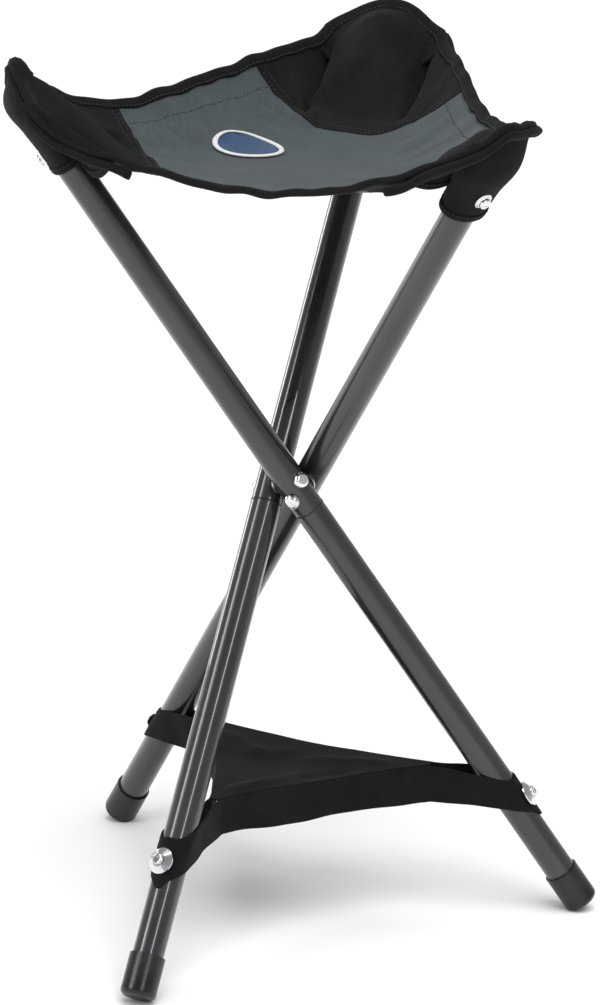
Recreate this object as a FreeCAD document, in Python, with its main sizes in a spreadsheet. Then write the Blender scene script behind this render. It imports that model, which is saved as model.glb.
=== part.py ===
"""Folding three-legged stool with a sewn sling seat and a fabric leg spreader.

Three round tube legs cross at a hub below the seat. Leg A is the middle leg:
legs B and C are each bolted to it, and swing on their bolt until all three
lie side by side. A sling seat is held over the tube tops by sewn corner
pockets, and a fabric spreader is screwed to the lower tubes.

Frame: millimetres, +Z up, origin on the floor under the hub. Leg A's foot
points along +X. Each leg is drawn in a frame of its own: z runs up along the
tube from the hub, and x points away from the hub's vertical axis.
"""
import FreeCAD, Part
import math
import os

import Sketcher
from FreeCAD import Placement, Rotation, Vector

DIMENSIONS = [
    ("tube_od", 22.2, "outer diameter of every leg tube"),
    ("tube_wall", 1.3, "wall of the leg tubes"),
    ("leg_lean", 34.85, "degrees between a leg and the vertical"),
    ("leg_offset", 14.87, "from the hub's vertical axis to a leg's axis"),
    ("tube_top", 326, "from the hub up to the end of the tube"),
    ("seam_below", 19, "from the hub down to the seam of the two tubes"),
    ("cap_end", 385, "from the hub down to the end of the foot cap"),
    ("cap_length", 30, "length of the foot cap"),
    ("cap_floor", 4.5, "thickness of the foot cap's closed end"),
    ("cap_od", 25.2, "outer diameter of the foot cap"),
    ("cap_edge", 4, "rounding of the foot cap's end"),
    ("cap_flat", 0.5, "depth of the worn flat that meets the floor"),
    ("snug", 0.05, "radial room between pieces that are pushed together"),
    ("ferrule_up", 20, "ferrule's reach above the hub"),
    ("ferrule_down", 64, "ferrule's reach below the hub"),
    ("ferrule_wall", 1.2, "wall of the ferrule"),
    ("plug_spigot", 14, "length of the top plug inside the tube"),
    ("plug_rim", 2, "thickness of the top plug's rim"),
    ("bolt_d", 6, "hub bolt diameter"),
    ("bolt_head_d", 11.4, "hub bolt head diameter"),
    ("bolt_head_high", 4, "hub bolt head height"),
    ("bolt_round", 3, "rounding of the hub bolt head"),
    ("nut_flats", 10, "hub nut across its flats"),
    ("nut_high", 5, "height of the hub nut's hexagon"),
    ("nut_dome", 3, "height of the hub nut's closed dome"),
    ("washer_od", 15, "diameter of the washer between two legs"),
    ("screw_d", 4, "fabric screw diameter"),
    ("screw_head_d", 8.6, "fabric screw head diameter"),
    ("screw_head_high", 2.4, "fabric screw head height"),
    ("screw_round", 1.4, "rounding of the fabric screw head"),
    ("screw_socket", 3, "hexagon socket across its flats"),
    ("cone_od", 19, "spreader washer diameter"),
    ("cone_top_d", 10, "diameter of the spreader washer's raised rim"),
    ("cone_high", 3.6, "height of the spreader washer"),
    ("cup_od", 13, "seat washer diameter"),
    ("cup_top_d", 9.4, "diameter of the seat washer's raised rim"),
    ("cup_high", 1.8, "height of the seat washer"),
    ("cloth", 1.5, "thickness of one sewn layer"),
    ("seat_screw_up", 298, "from the hub up to the seat screw"),
    ("pocket_mouth", 280, "from the hub up to the mouth of the corner pocket"),
    ("pocket_wide", 66, "width of the corner pocket at its top"),
    ("pocket_narrow", 36, "width of the corner pocket at its mouth"),
    ("spread_screw_down", 290, "from the hub down to the spreader screw"),
    ("screw_twist", 14, "degrees the spreader screw is turned off straight out"),
    ("loop_wide", 28, "width of the spreader loop along the tube"),
    ("seat_reach", 208, "from the stool's axis to a seat corner"),
    ("seat_tip_half", 37, "half width of a seat corner at its outer end"),
    ("seat_tip_back", 12, "how far the corner's sides stop short of its tip"),
    ("seat_mid", 120, "from the stool's axis to the middle of a seat edge"),
    ("seat_low", 547, "height of the seat's middle"),
    ("seat_tip_high", 631, "height of a seat corner's tip"),
    ("seat_patch", 114, "from the stool's axis to a corner patch's inner seam"),
    ("edge_lift", 31, "how far the two rear edges stand above the dish"),
    ("edge_drop", 4, "how far the front edge hangs below the dish"),
    ("seat_cloth", 2.5, "thickness of the seat with its seams"),
    ("binding_wide", 2.4, "width of the tape bound round the seat's edge"),
    ("binding_high", 6, "height of the tape bound round the seat's edge"),
    ("badge_size", 26, "longer radius of the sewn badge"),
    ("badge_across", 21, "shorter radius of the sewn badge"),
    ("badge_away", 56, "from the stool's axis to the badge"),
    ("web_reach", 106, "from the stool's axis to a corner of the spreader web"),
    ("web_high", 110, "height of the spreader web"),
    ("web_bow", 7, "how far the web's edges curve in"),
    ("skirt_high", 27, "height of the spreader's hanging edge bands"),
]
LEG_AZIMUTHS = {"a": -90.0, "c": 30.0, "b": 150.0}
SKETCH_AXIS_V = -2
SKETCH_AXIS_H = -1

doc = FreeCAD.newDocument("stool")
sheet = doc.addObject("Spreadsheet::Sheet", "Dims")
for row_number, (alias, value, note) in enumerate(DIMENSIONS, start=1):
    sheet.set(f"A{row_number}", note)
    sheet.set(f"B{row_number}", str(value))
    sheet.setAlias(f"B{row_number}", alias)
doc.recompute()

parts = {}


def dim(alias):
    """A driving dimension, read from the sheet."""
    return float(sheet.get(alias))


# ---------------------------------------------------------------- leg geometry
LEAN = math.radians(dim("leg_lean"))
TUBE_R = dim("tube_od") / 2
CAP_CORNER_R = dim("cap_od") / 2 - dim("cap_edge")
HUB_HEIGHT = (
    (dim("cap_end") - dim("cap_edge")) * math.cos(LEAN)
    + CAP_CORNER_R * math.sin(LEAN)
    + dim("cap_edge")
    - dim("cap_flat")
)
UP = Vector(0, 0, 1)


class Leg:
    """The axis and the frame of one leg tube."""

    def __init__(self, azimuth):
        turn = math.radians(azimuth)
        self.away = Vector(math.cos(turn), math.sin(turn), 0)
        self.around = Vector(-math.sin(turn), math.cos(turn), 0)
        self.hub = self.away * dim("leg_offset") + UP * HUB_HEIGHT
        self.along = self.around * -math.sin(LEAN) + UP * math.cos(LEAN)
        self.across = self.along.cross(self.away)
        rotation = Rotation(self.away, self.across, self.along, "ZXY")
        self.placement = Placement(self.hub, rotation)

    def direction(self, azimuth):
        """The leg-frame azimuth, in degrees, as a direction of the row frame."""
        turn = math.radians(azimuth)
        return self.away * math.cos(turn) + self.across * math.sin(turn)

    def point(self, height):
        return self.hub + self.along * height

    def seat(self, height, azimuth, out):
        """Placement with z pointing out of the tube, `out` from its axis."""
        outward = self.direction(azimuth)
        centre = self.point(height) + outward * out
        return Placement(centre, Rotation(self.along, Vector(), outward, "ZXY"))


LEGS = {name: Leg(azimuth) for name, azimuth in LEG_AZIMUTHS.items()}


class Crossing:
    """Where a swinging leg passes leg A: the hub bolt's axis."""

    def __init__(self, other):
        main = LEGS["a"]
        normal = main.along.cross(other.along)
        normal.normalize()
        offset = main.hub - other.hub
        if offset.dot(normal) < 0:
            normal = normal * -1
        self.outward = normal
        self.distance = offset.dot(normal)
        cosine = main.along.dot(other.along)
        along_main = offset.dot(main.along)
        along_other = offset.dot(other.along)
        sine_squared = 1 - cosine**2
        self.on_main = (cosine * along_other - along_main) / sine_squared
        self.on_other = (along_other - cosine * along_main) / sine_squared
        self.centre = main.point(self.on_main)
        self.placement = Placement(
            self.centre, Rotation(main.along, Vector(), normal, "ZXY")
        )
        self.main_azimuth = azimuth_in(main, normal)
        self.other_azimuth = azimuth_in(other, normal)


def azimuth_in(leg, direction):
    return math.degrees(
        math.atan2(direction.dot(leg.across), direction.dot(leg.away))
    )


CROSSINGS = {name: Crossing(LEGS[name]) for name in ("b", "c")}


# --------------------------------------------------------------- sketch helpers
def new_body(label):
    body = doc.addObject("PartDesign::Body", "Body_" + label)
    body.Label = label
    return body


def attach(item, body, role, lift="0"):
    """Lay a sketch on one of its body's own origin planes, `lift` above it."""
    planes = body.Origin.OriginFeatures
    item.AttachmentSupport = [(next(p for p in planes if p.Role == role), "")]
    item.MapMode = "FlatFace"
    item.setExpression("AttachmentOffset.Base.z", lift)


def new_sketch(body, name, role="XY_Plane", lift="0"):
    sketch = body.newObject("Sketcher::SketchObject", f"{body.Label}_{name}")
    attach(sketch, body, role, lift)
    return sketch


def add_circle(sketch, radius, height="0"):
    """A circle on the sketch's V axis at `height`."""
    circle = sketch.addGeometry(Part.Circle(Vector(0, 1, 0), UP, 1), False)
    on_axis = Sketcher.Constraint("PointOnObject", circle, 3, SKETCH_AXIS_V)
    sketch.addConstraint(on_axis)
    if height == "0":
        centred = Sketcher.Constraint("PointOnObject", circle, 3, SKETCH_AXIS_H)
        sketch.addConstraint(centred)
    else:
        bind(sketch, Sketcher.Constraint("DistanceY", -1, 1, circle, 3, 1.0), height)
    bind(sketch, Sketcher.Constraint("Radius", circle, 1.0), radius)


def bind(sketch, constraint, expression):
    """Add a constraint whose value follows the sheet."""
    index = sketch.addConstraint(constraint)
    sketch.setExpression(f"Constraints[{index}]", expression)


def add_profile(sketch, corners):
    """A closed outline whose corners are pairs of expressions; "0" is an axis."""
    count = len(corners)
    rough = [Vector(1 + i % 3, i, 0) for i in range(count)]
    lines = [
        sketch.addGeometry(Part.LineSegment(rough[i], rough[(i + 1) % count]), False)
        for i in range(count)
    ]
    for i, line in enumerate(lines):
        following = lines[(i + 1) % count]
        sketch.addConstraint(Sketcher.Constraint("Coincident", line, 2, following, 1))
    for line, (across, up) in zip(lines, corners):
        for kind, value, axis in (
            ("DistanceX", across, SKETCH_AXIS_V),
            ("DistanceY", up, SKETCH_AXIS_H),
        ):
            if value == "0":
                rest = Sketcher.Constraint("PointOnObject", line, 1, axis)
                sketch.addConstraint(rest)
            else:
                bind(sketch, Sketcher.Constraint(kind, -1, 1, line, 1, 1.0), value)


def pad(body, sketch, length):
    feature = body.newObject("PartDesign::Pad", sketch.Name + "_pad")
    feature.Profile = sketch
    feature.setExpression("Length", length)
    sketch.Visibility = False
    return feature


def revolve(body, corners):
    """Turn an outline, drawn as radius and height, about the body's z axis."""
    sketch = new_sketch(body, "profile", "XZ_Plane")
    add_profile(sketch, corners)
    feature = body.newObject("PartDesign::Revolution", body.Label + "_turned")
    feature.Profile = sketch
    feature.ReferenceAxis = (sketch, ["V_Axis"])
    feature.Angle = 360
    return feature


def round_edge(body, feature, radius, at_radius, at_height):
    """Round the circular edge of `feature` found at that radius and height."""
    doc.recompute()
    names = [
        f"Edge{i}"
        for i, edge in enumerate(feature.Shape.Edges, start=1)
        if isinstance(edge.Curve, Part.Circle)
        and abs(edge.Curve.Radius - at_radius) < 1e-3
        and abs(edge.Curve.Center.z - at_height) < 1e-3
    ]
    fillet = body.newObject("PartDesign::Fillet", body.Label + "_rounded")
    fillet.Base = (feature, names)
    fillet.setExpression("Radius", radius)
    return fillet


def cross_hole(body, name, azimuth, height, radius, one_wall=False):
    """A round hole across the tube, through one wall or through both."""
    sketch = new_sketch(body, name, "XZ_Plane")
    turned = Rotation(Vector(0, 1, 0), azimuth + 90)
    sketch.AttachmentOffset = Placement(Vector(), turned)
    add_circle(sketch, radius, height)
    before = body.Tip.Shape.Volume if body.Tip and not body.Tip.Shape.isNull() else 0
    pocket = body.newObject("PartDesign::Pocket", sketch.Name + "_cut")
    pocket.Profile = sketch
    if one_wall:
        pocket.setExpression("Length", "Dims.tube_od")
        pocket.Reversed = True
    else:
        pocket.Type = "ThroughAll"
        pocket.Midplane = True
    doc.recompute()
    if before and pocket.Shape.Volume > before - 1:
        raise RuntimeError(f"{body.Label}: {name} cut nothing")
    return pocket


def hexagon(body, name, flats, depth, lift, cut):
    """A six-sided boss or socket standing on z, `lift` above the origin."""
    kind = "PartDesign::SubtractivePrism" if cut else "PartDesign::AdditivePrism"
    prism = body.newObject(kind, f"{body.Label}_{name}")
    attach(prism, body, "XY_Plane", lift)
    prism.Polygon = 6
    prism.setExpression("Circumradius", f"{flats} / 2 / cos(30)")
    prism.setExpression("Height", depth)
    return prism


def keep(label, item, placement=None):
    """Name a finished piece and put it where it belongs."""
    item.Label = label
    if placement is not None:
        item.Placement = placement
    parts[label] = item


# ------------------------------------------------------------------- leg pieces
BOLT_HOLE = "Dims.bolt_d / 2 + Dims.snug"
SCREW_HOLE = "Dims.screw_d / 2 + Dims.snug"
TUBE_BORE = "Dims.tube_od / 2 - Dims.tube_wall"
OUTWARD_AT_FOOT = 90 - dim("screw_twist")
OUTWARD_AT_TOP = -90


def bolt_holes(name):
    """(azimuth, height) of each hub bolt through that leg."""
    if name == "a":
        return [(c.main_azimuth, c.on_main) for c in CROSSINGS.values()]
    crossing = CROSSINGS[name]
    return [(crossing.other_azimuth, crossing.on_other)]


def ring(body, lift, outer, inner, length):
    sketch = new_sketch(body, "ring", "XY_Plane", lift)
    add_circle(sketch, outer)
    add_circle(sketch, inner)
    pad(body, sketch, length)
    doc.recompute()


def make_upper_tube(name, leg):
    label = f"leg_{name}_upper_tube"
    body = new_body(label)
    ring(body, "-Dims.seam_below", "Dims.tube_od / 2", TUBE_BORE,
         "Dims.tube_top + Dims.seam_below")
    for number, (azimuth, height) in enumerate(bolt_holes(name)):
        cross_hole(body, f"bolt_hole_{number}", azimuth, f"{height:.6f}", BOLT_HOLE)
    cross_hole(body, "seat_screw_hole", OUTWARD_AT_TOP, "Dims.seat_screw_up",
               SCREW_HOLE, one_wall=True)
    keep(label, body, leg.placement)


def make_lower_tube(name, leg):
    label = f"leg_{name}_lower_tube"
    body = new_body(label)
    bottom = "Dims.cap_end - Dims.cap_floor"
    ring(body, f"-({bottom})", "Dims.tube_od / 2", TUBE_BORE,
         f"{bottom} - Dims.seam_below")
    cross_hole(body, "spreader_screw_hole", OUTWARD_AT_FOOT,
               "-Dims.spread_screw_down", SCREW_HOLE, one_wall=True)
    keep(label, body, leg.placement)


def make_ferrule(name, leg):
    label = f"leg_{name}_ferrule"
    body = new_body(label)
    outer = f"{TUBE_BORE} - Dims.snug"
    ring(body, "-Dims.ferrule_down", outer, f"{outer} - Dims.ferrule_wall",
         "Dims.ferrule_up + Dims.ferrule_down")
    for number, (azimuth, height) in enumerate(bolt_holes(name)):
        cross_hole(body, f"bolt_hole_{number}", azimuth, f"{height:.6f}", BOLT_HOLE)
    keep(label, body, leg.placement)


PLUG_ROUNDING = 0.7


def make_top_plug(name, leg):
    label = f"leg_{name}_top_plug"
    body = new_body(label)
    spigot = f"{TUBE_BORE} - Dims.snug"
    rim_top = "Dims.tube_top + Dims.plug_rim"
    turned = revolve(body, [
        ("0", "Dims.tube_top - Dims.plug_spigot"),
        (spigot, "Dims.tube_top - Dims.plug_spigot"),
        (spigot, "Dims.tube_top"),
        ("Dims.tube_od / 2", "Dims.tube_top"),
        ("Dims.tube_od / 2", rim_top),
        ("0", rim_top),
    ])
    round_edge(body, turned, f"Dims.plug_rim * {PLUG_ROUNDING}", TUBE_R,
               dim("tube_top") + dim("plug_rim"))
    keep(label, body, leg.placement)


def make_foot_cap(name, leg):
    """A pushed-on cap, cut by the floor so that it stands on a small flat."""
    label = f"leg_{name}_foot_cap"
    body = new_body(label + "_whole")
    sleeve = "Dims.tube_od / 2 + Dims.snug"
    mouth = "-(Dims.cap_end - Dims.cap_length)"
    inner_end = "-(Dims.cap_end - Dims.cap_floor)"
    turned = revolve(body, [
        ("0", "-Dims.cap_end"),
        ("Dims.cap_od / 2", "-Dims.cap_end"),
        ("Dims.cap_od / 2", mouth),
        (sleeve, mouth),
        (sleeve, inner_end),
        ("0", inner_end),
    ])
    round_edge(body, turned, "Dims.cap_edge", dim("cap_od") / 2, -dim("cap_end"))
    body.Placement = leg.placement
    floor = doc.addObject("Part::Box", label + "_floor")
    for side in ("Length", "Width", "Height"):
        floor.setExpression(side, "Dims.cap_od * 4")
    reach = dim("cap_od") * 2
    foot = leg.point(-dim("cap_end"))
    floor.Placement.Base = Vector(foot.x - reach, foot.y - reach, -2 * reach)
    cut = doc.addObject("Part::Cut", label)
    cut.Base = body
    cut.Tool = floor
    keep(label, cut)


# ------------------------------------------------------------------ fasteners
SOCKET_DEPTH = 0.6
CONE_EDGE = 0.25
CONE_MIDDLE = 0.5
CONE_LIP = 0.6


def make_screw(label, head_lift, reach, placement):
    """A round-head socket screw. z = 0 is its seat on the cloth."""
    body = new_body(label)
    top = f"{head_lift} + Dims.screw_head_high"
    turned = revolve(body, [
        ("0", f"-({reach})"),
        ("Dims.screw_d / 2", f"-({reach})"),
        ("Dims.screw_d / 2", head_lift),
        ("Dims.screw_head_d / 2", head_lift),
        ("Dims.screw_head_d / 2", top),
        ("0", top),
    ])
    doc.recompute()
    high = turned.Shape.BoundBox.ZMax
    round_edge(body, turned, "Dims.screw_round", dim("screw_head_d") / 2, high)
    hexagon(body, "socket", "Dims.screw_socket", "Dims.screw_head_high",
            f"{top} - Dims.screw_head_high * {SOCKET_DEPTH}", cut=True)
    keep(label, body, placement)


def make_cone_washer(label, outer, top, height, placement):
    """A dished washer with a sunk middle for the screw head."""
    body = new_body(label)
    revolve(body, [
        (SCREW_HOLE, "0"),
        (f"{outer} / 2", "0"),
        (f"{outer} / 2", f"{height} * {CONE_EDGE}"),
        (f"{top} / 2", height),
        (f"{top} / 2 - {CONE_LIP}", height),
        (SCREW_HOLE, f"{height} * {CONE_MIDDLE}"),
    ])
    keep(label, body, placement)


def make_hub_bolt(name, crossing):
    label = f"hub_bolt_a{name}"
    body = new_body(label)
    seat = "Dims.tube_od / 2 + Dims.snug"
    tip = f"{crossing.distance:.6f} + Dims.tube_od / 2 + Dims.nut_high"
    head_top = f"{seat} + Dims.bolt_head_high"
    turned = revolve(body, [
        ("0", f"-({tip})"),
        ("Dims.bolt_d / 2", f"-({tip})"),
        ("Dims.bolt_d / 2", seat),
        ("Dims.bolt_head_d / 2", seat),
        ("Dims.bolt_head_d / 2", head_top),
        ("0", head_top),
    ])
    high = TUBE_R + dim("snug") + dim("bolt_head_high")
    round_edge(body, turned, "Dims.bolt_round", dim("bolt_head_d") / 2, high)
    keep(label, body, crossing.placement)


DOME_INSET = 0.2
DOME_ROUNDING = 0.95
BORE_OVERRUN = 0.5


def make_hub_nut(name, crossing):
    """A closed dome nut beyond the swinging leg."""
    label = f"hub_nut_a{name}"
    body = new_body(label)
    radius = f"Dims.nut_flats / 2 - {DOME_INSET}"
    dome = revolve(body, [
        ("0", "0"),
        (radius, "0"),
        (radius, "-(Dims.nut_high + Dims.nut_dome)"),
        ("0", "-(Dims.nut_high + Dims.nut_dome)"),
    ])
    round_edge(body, dome, f"Dims.nut_dome * {DOME_ROUNDING}",
               dim("nut_flats") / 2 - DOME_INSET, -dim("nut_high") - dim("nut_dome"))
    hexagon(body, "flats", "Dims.nut_flats", "Dims.nut_high", "-Dims.nut_high",
            cut=False)
    bore = body.newObject("PartDesign::SubtractiveCylinder", label + "_bore")
    attach(bore, body, "XY_Plane", f"-Dims.nut_high - {BORE_OVERRUN}")
    bore.setExpression("Radius", BOLT_HOLE)
    bore.setExpression("Height", f"Dims.nut_high + 2 * {BORE_OVERRUN}")
    beyond = crossing.distance + TUBE_R + dim("snug")
    keep(label, body, crossing.placement * Placement(UP * -beyond, Rotation()))


def make_hub_washer(name, crossing):
    """Holds two crossing tubes apart on their bolt."""
    label = f"hub_washer_a{name}"
    body = new_body(label)
    thickness = crossing.distance - dim("tube_od") - 2 * dim("snug")
    ring(body, "0", "Dims.washer_od / 2", BOLT_HOLE, f"{thickness:.6f}")
    under = TUBE_R + dim("snug") + thickness
    keep(label, body, crossing.placement * Placement(UP * -under, Rotation()))


def make_leg_fasteners(name, leg):
    on_cloth = TUBE_R + dim("snug") * 2 + dim("cloth")
    seat_place = leg.seat(dim("seat_screw_up"), OUTWARD_AT_TOP, on_cloth)
    foot_place = leg.seat(-dim("spread_screw_down"), OUTWARD_AT_FOOT, on_cloth)
    reach = "Dims.cloth + Dims.tube_wall * 2"
    make_screw(f"leg_{name}_seat_screw", "Dims.cup_high", reach, seat_place)
    make_cone_washer(f"leg_{name}_seat_washer", "Dims.cup_od", "Dims.cup_top_d",
                     "Dims.cup_high", seat_place)
    make_screw(f"leg_{name}_spreader_screw", "Dims.cone_high", reach, foot_place)
    make_cone_washer(f"leg_{name}_spreader_washer", "Dims.cone_od",
                     "Dims.cone_top_d", "Dims.cone_high", foot_place)


# -------------------------------------------------------- cloth held by one leg
POCKET_CLEAR = 1.0
POCKET_OPEN_SHARE = 0.55


def make_seat_pocket(name, leg):
    """The sewn pocket over a tube top: it wraps the outer side of the tube."""
    label = f"leg_{name}_seat_pocket"
    body = new_body(label + "_whole")
    half_deep = TUBE_R + dim("snug") + dim("cloth")
    levels = [("mouth", "Dims.pocket_mouth", "Dims.pocket_narrow"),
              ("end", f"Dims.tube_top + Dims.plug_rim + {POCKET_CLEAR}",
               "Dims.pocket_wide")]
    sketches = []
    for level, height, wide in levels:
        sketch = new_sketch(body, level, "XY_Plane", height)
        oval = Part.Ellipse(Vector(), 40, half_deep)
        curve = sketch.addGeometry(oval, False)
        sketch.addConstraint(Sketcher.Constraint("Coincident", curve, 3, -1, 1))
        sketch.exposeInternalGeometry(curve)
        major, minor = curve + 1, curve + 2
        level_axis = Sketcher.Constraint("Horizontal", major)
        sketch.addConstraint(level_axis)
        bind(sketch, Sketcher.Constraint("Distance", major, 80.0), wide)
        bind(sketch, Sketcher.Constraint("Distance", minor, 2 * half_deep),
             "Dims.tube_od + 2 * (Dims.snug + Dims.cloth)")
        sketches.append(sketch)
    loft = body.newObject("PartDesign::AdditiveLoft", label + "_loft")
    loft.Profile = sketches[0]
    loft.Sections = sketches[1:]
    loft.Ruled = True
    bore = body.newObject("PartDesign::SubtractiveCylinder", label + "_bore")
    attach(bore, body, "XY_Plane", f"Dims.pocket_mouth - {POCKET_CLEAR}")
    bore.setExpression("Radius", "Dims.tube_od / 2 + Dims.snug")
    bore.setExpression("Height", "Dims.tube_top + Dims.plug_rim + Dims.snug"
                       f" - Dims.pocket_mouth + {POCKET_CLEAR}")
    cross_hole(body, "screw_hole", OUTWARD_AT_TOP, "Dims.seat_screw_up",
               SCREW_HOLE, one_wall=True)
    inner = doc.addObject("Part::Box", label + "_open_side")
    inner.setExpression("Length", "Dims.pocket_wide * 2")
    inner.setExpression("Width", "Dims.pocket_wide")
    inner.setExpression("Height", "Dims.tube_top")
    inner.Placement.Base = Vector(-dim("pocket_wide"), TUBE_R * POCKET_OPEN_SHARE,
                                  dim("pocket_mouth") - 2 * POCKET_CLEAR)
    cut = doc.addObject("Part::Cut", label)
    cut.Base = body
    cut.Tool = inner
    keep(label, cut, leg.placement)


def make_spreader_loop(name, leg):
    label = f"leg_{name}_spreader_loop"
    body = new_body(label)
    inner = "Dims.tube_od / 2 + Dims.snug"
    ring(body, "-(Dims.spread_screw_down + Dims.loop_wide / 2)",
         f"{inner} + Dims.cloth", inner, "Dims.loop_wide")
    cross_hole(body, "screw_hole", OUTWARD_AT_FOOT, "-Dims.spread_screw_down",
               SCREW_HOLE, one_wall=True)
    keep(label, body, leg.placement)


# ----------------------------------------------------------------- sewn sheets
TOP_AZIMUTHS = {
    name: math.atan2(leg.point(dim("tube_top")).y, leg.point(dim("tube_top")).x)
    for name, leg in LEGS.items()
}
EDGES = {"left": ("a", "b"), "right": ("b", "c"), "front": ("c", "a")}
EDGE_POINTS = 11
DISH_POWER = 2.9


def flat(azimuth, out, sideways=0.0):
    """A point in plan, `out` along an azimuth and `sideways` to its left."""
    c, s = math.cos(azimuth), math.sin(azimuth)
    return Vector(out * c - sideways * s, out * s + sideways * c, 0)


def seat_height(point):
    """Height of the sling's upper face: a dish that steepens to its corners."""
    out = math.hypot(point.x, point.y)
    turn = math.atan2(point.y, point.x) - TOP_AZIMUTHS["a"]
    corner_rise = dim("seat_tip_high") - dim("seat_low")
    between = (1 - math.cos(3 * turn)) / 2
    front = math.cos(turn - math.pi / 3) > 0.5
    lift = -dim("edge_drop") if front else dim("edge_lift")
    return (
        dim("seat_low")
        + corner_rise * (out / dim("seat_reach")) ** DISH_POWER
        + lift * between * (out / dim("seat_mid")) ** DISH_POWER
    )


def on_seat(point, lift=0.0):
    return Vector(point.x, point.y, seat_height(point) + lift)


def corner_points(name):
    """The two side ends and the tip of a seat corner, in plan."""
    azimuth = TOP_AZIMUTHS[name]
    side_out = dim("seat_reach") - dim("seat_tip_back")
    half = dim("seat_tip_half")
    return (
        flat(azimuth, side_out, half),
        flat(azimuth, dim("seat_reach")),
        flat(azimuth, side_out, -half),
    )


def quadratic(start, pull, end, share):
    rest = 1 - share
    return start * rest**2 + pull * (2 * rest * share) + end * share**2


HALVINGS = 40


class SeatEdge:
    """The edge between two corners, in plan: a shallow curve drawn inwards."""

    def __init__(self, first, second):
        self.start = corner_points(first)[2]
        self.end = corner_points(second)[0]
        middle = (self.start + self.end) * 0.5
        middle.normalize()
        middle = middle * dim("seat_mid")
        self.pull = middle * 2 - (self.start + self.end) * 0.5
        self.cut_start = self.share_at(TOP_AZIMUTHS[first], 0.0, 0.5)
        self.cut_end = self.share_at(TOP_AZIMUTHS[second], 0.5, 1.0)

    def at(self, share):
        return quadratic(self.start, self.pull, self.end, share)

    def share_at(self, azimuth, low, high):
        """Where the edge meets a corner patch's seam, by halving."""
        axis = flat(azimuth, 1)

        def beyond(share):
            return self.at(share).dot(axis) > dim("seat_patch")

        outside = beyond(low)
        for _ in range(HALVINGS):
            half = (low + high) / 2
            if beyond(half) == outside:
                low = half
            else:
                high = half
        return low

    def stretch(self, start, end, count=EDGE_POINTS):
        step = (end - start) / (count - 1)
        return [self.at(start + step * i) for i in range(count)]


def straight(start, end, count=EDGE_POINTS):
    return [start + (end - start) * (i / (count - 1)) for i in range(count)]


def coons_grid(bottom, right, top, left):
    """Plan points filling four meeting edges, each a list of one length."""
    last = len(bottom) - 1
    grid = []
    for j in range(last + 1):
        v = j / last
        row = []
        for i in range(last + 1):
            u = i / last
            sides = left[j] * (1 - u) + right[j] * u
            ends = bottom[i] * (1 - v) + top[i] * v
            corners = (
                bottom[0] * ((1 - u) * (1 - v))
                + bottom[last] * (u * (1 - v))
                + top[0] * ((1 - u) * v)
                + top[last] * (u * v)
            )
            row.append(sides + ends - corners)
        grid.append(row)
    return grid


def seat_sheet(grid, lift=0.0):
    """A smooth face through the grid, lifted onto the sling."""
    surface = Part.BSplineSurface()
    surface.interpolate([[on_seat(p, lift) for p in row] for row in grid])
    return surface.toShape()


def make_sheet(label, faces, thickness):
    """A closed sheet: smooth faces thickened downwards."""
    feature = doc.addObject("Part::Feature", label)
    solids = [face.extrude(UP * -thickness) for face in faces]
    feature.Shape = solids[0] if len(solids) == 1 else Part.makeCompound(solids)
    keep(label, feature)


def make_corner_patch(name, before, after, seam):
    """The black patch over a corner: `before` and `after` are its two edges."""
    side_end, tip, other_end = corner_points(name)
    pull = tip * 2 - (side_end + other_end) * 0.5
    shares = [i / (EDGE_POINTS - 1) for i in range(EDGE_POINTS)]
    grid = coons_grid(
        seam,
        after.stretch(after.cut_start, 0.0),
        [quadratic(side_end, pull, other_end, share) for share in shares],
        before.stretch(before.cut_end, 1.0),
    )
    make_sheet(f"seat_patch_{name}", [seat_sheet(grid)], dim("seat_cloth"))


AHEAD = 0.01


def make_binding(side, edge):
    """Tape sewn round one edge, from corner to corner."""
    shares = [i / (EDGE_POINTS - 1) for i in range(EDGE_POINTS)]
    lines = []
    for out in (dim("snug"), dim("snug") + dim("binding_wide")):
        points = []
        for share in shares:
            ahead = edge.at(share + AHEAD) - edge.at(share - AHEAD)
            ahead.normalize()
            outward = Vector(-ahead.y, ahead.x, 0)
            points.append(edge.at(share) + outward * out)
        lines.append(points)
    proud = (dim("binding_high") - dim("seat_cloth")) / 2
    curves = []
    for points in lines:
        curve = Part.BSplineCurve()
        curve.interpolate([on_seat(p, proud) for p in points])
        curves.append(curve.toShape())
    ribbon = Part.makeRuledSurface(*curves)
    make_sheet(f"seat_binding_{side}", [ribbon], dim("binding_high"))


BADGE_MARGIN = 1.2


def make_badge():
    """A plain oval badge sewn near the middle of the left edge."""
    azimuth = TOP_AZIMUTHS["b"] + math.pi / 3
    centre = flat(azimuth, dim("badge_away"))
    reach = dim("badge_size") * BADGE_MARGIN
    corners = [centre + Vector(x * reach, y * reach, 0)
               for x, y in ((-1, -1), (1, -1), (1, 1), (-1, 1))]
    grid = coons_grid(
        straight(corners[0], corners[1]),
        straight(corners[1], corners[2]),
        straight(corners[3], corners[2]),
        straight(corners[0], corners[3]),
    )
    thick = dim("cloth") / 2
    square = seat_sheet(grid, dim("snug") + thick).extrude(UP * -thick)
    low = Vector(centre.x, centre.y, dim("seat_low") - dim("badge_size"))
    oval = Part.Ellipse(low, dim("badge_size"), dim("badge_across"))
    column = Part.Face(Part.Wire(oval.toShape())).extrude(UP * dim("badge_size") * 3)
    feature = doc.addObject("Part::Feature", "seat_badge")
    feature.Shape = square.common(column)
    keep("seat_badge", feature)


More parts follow.
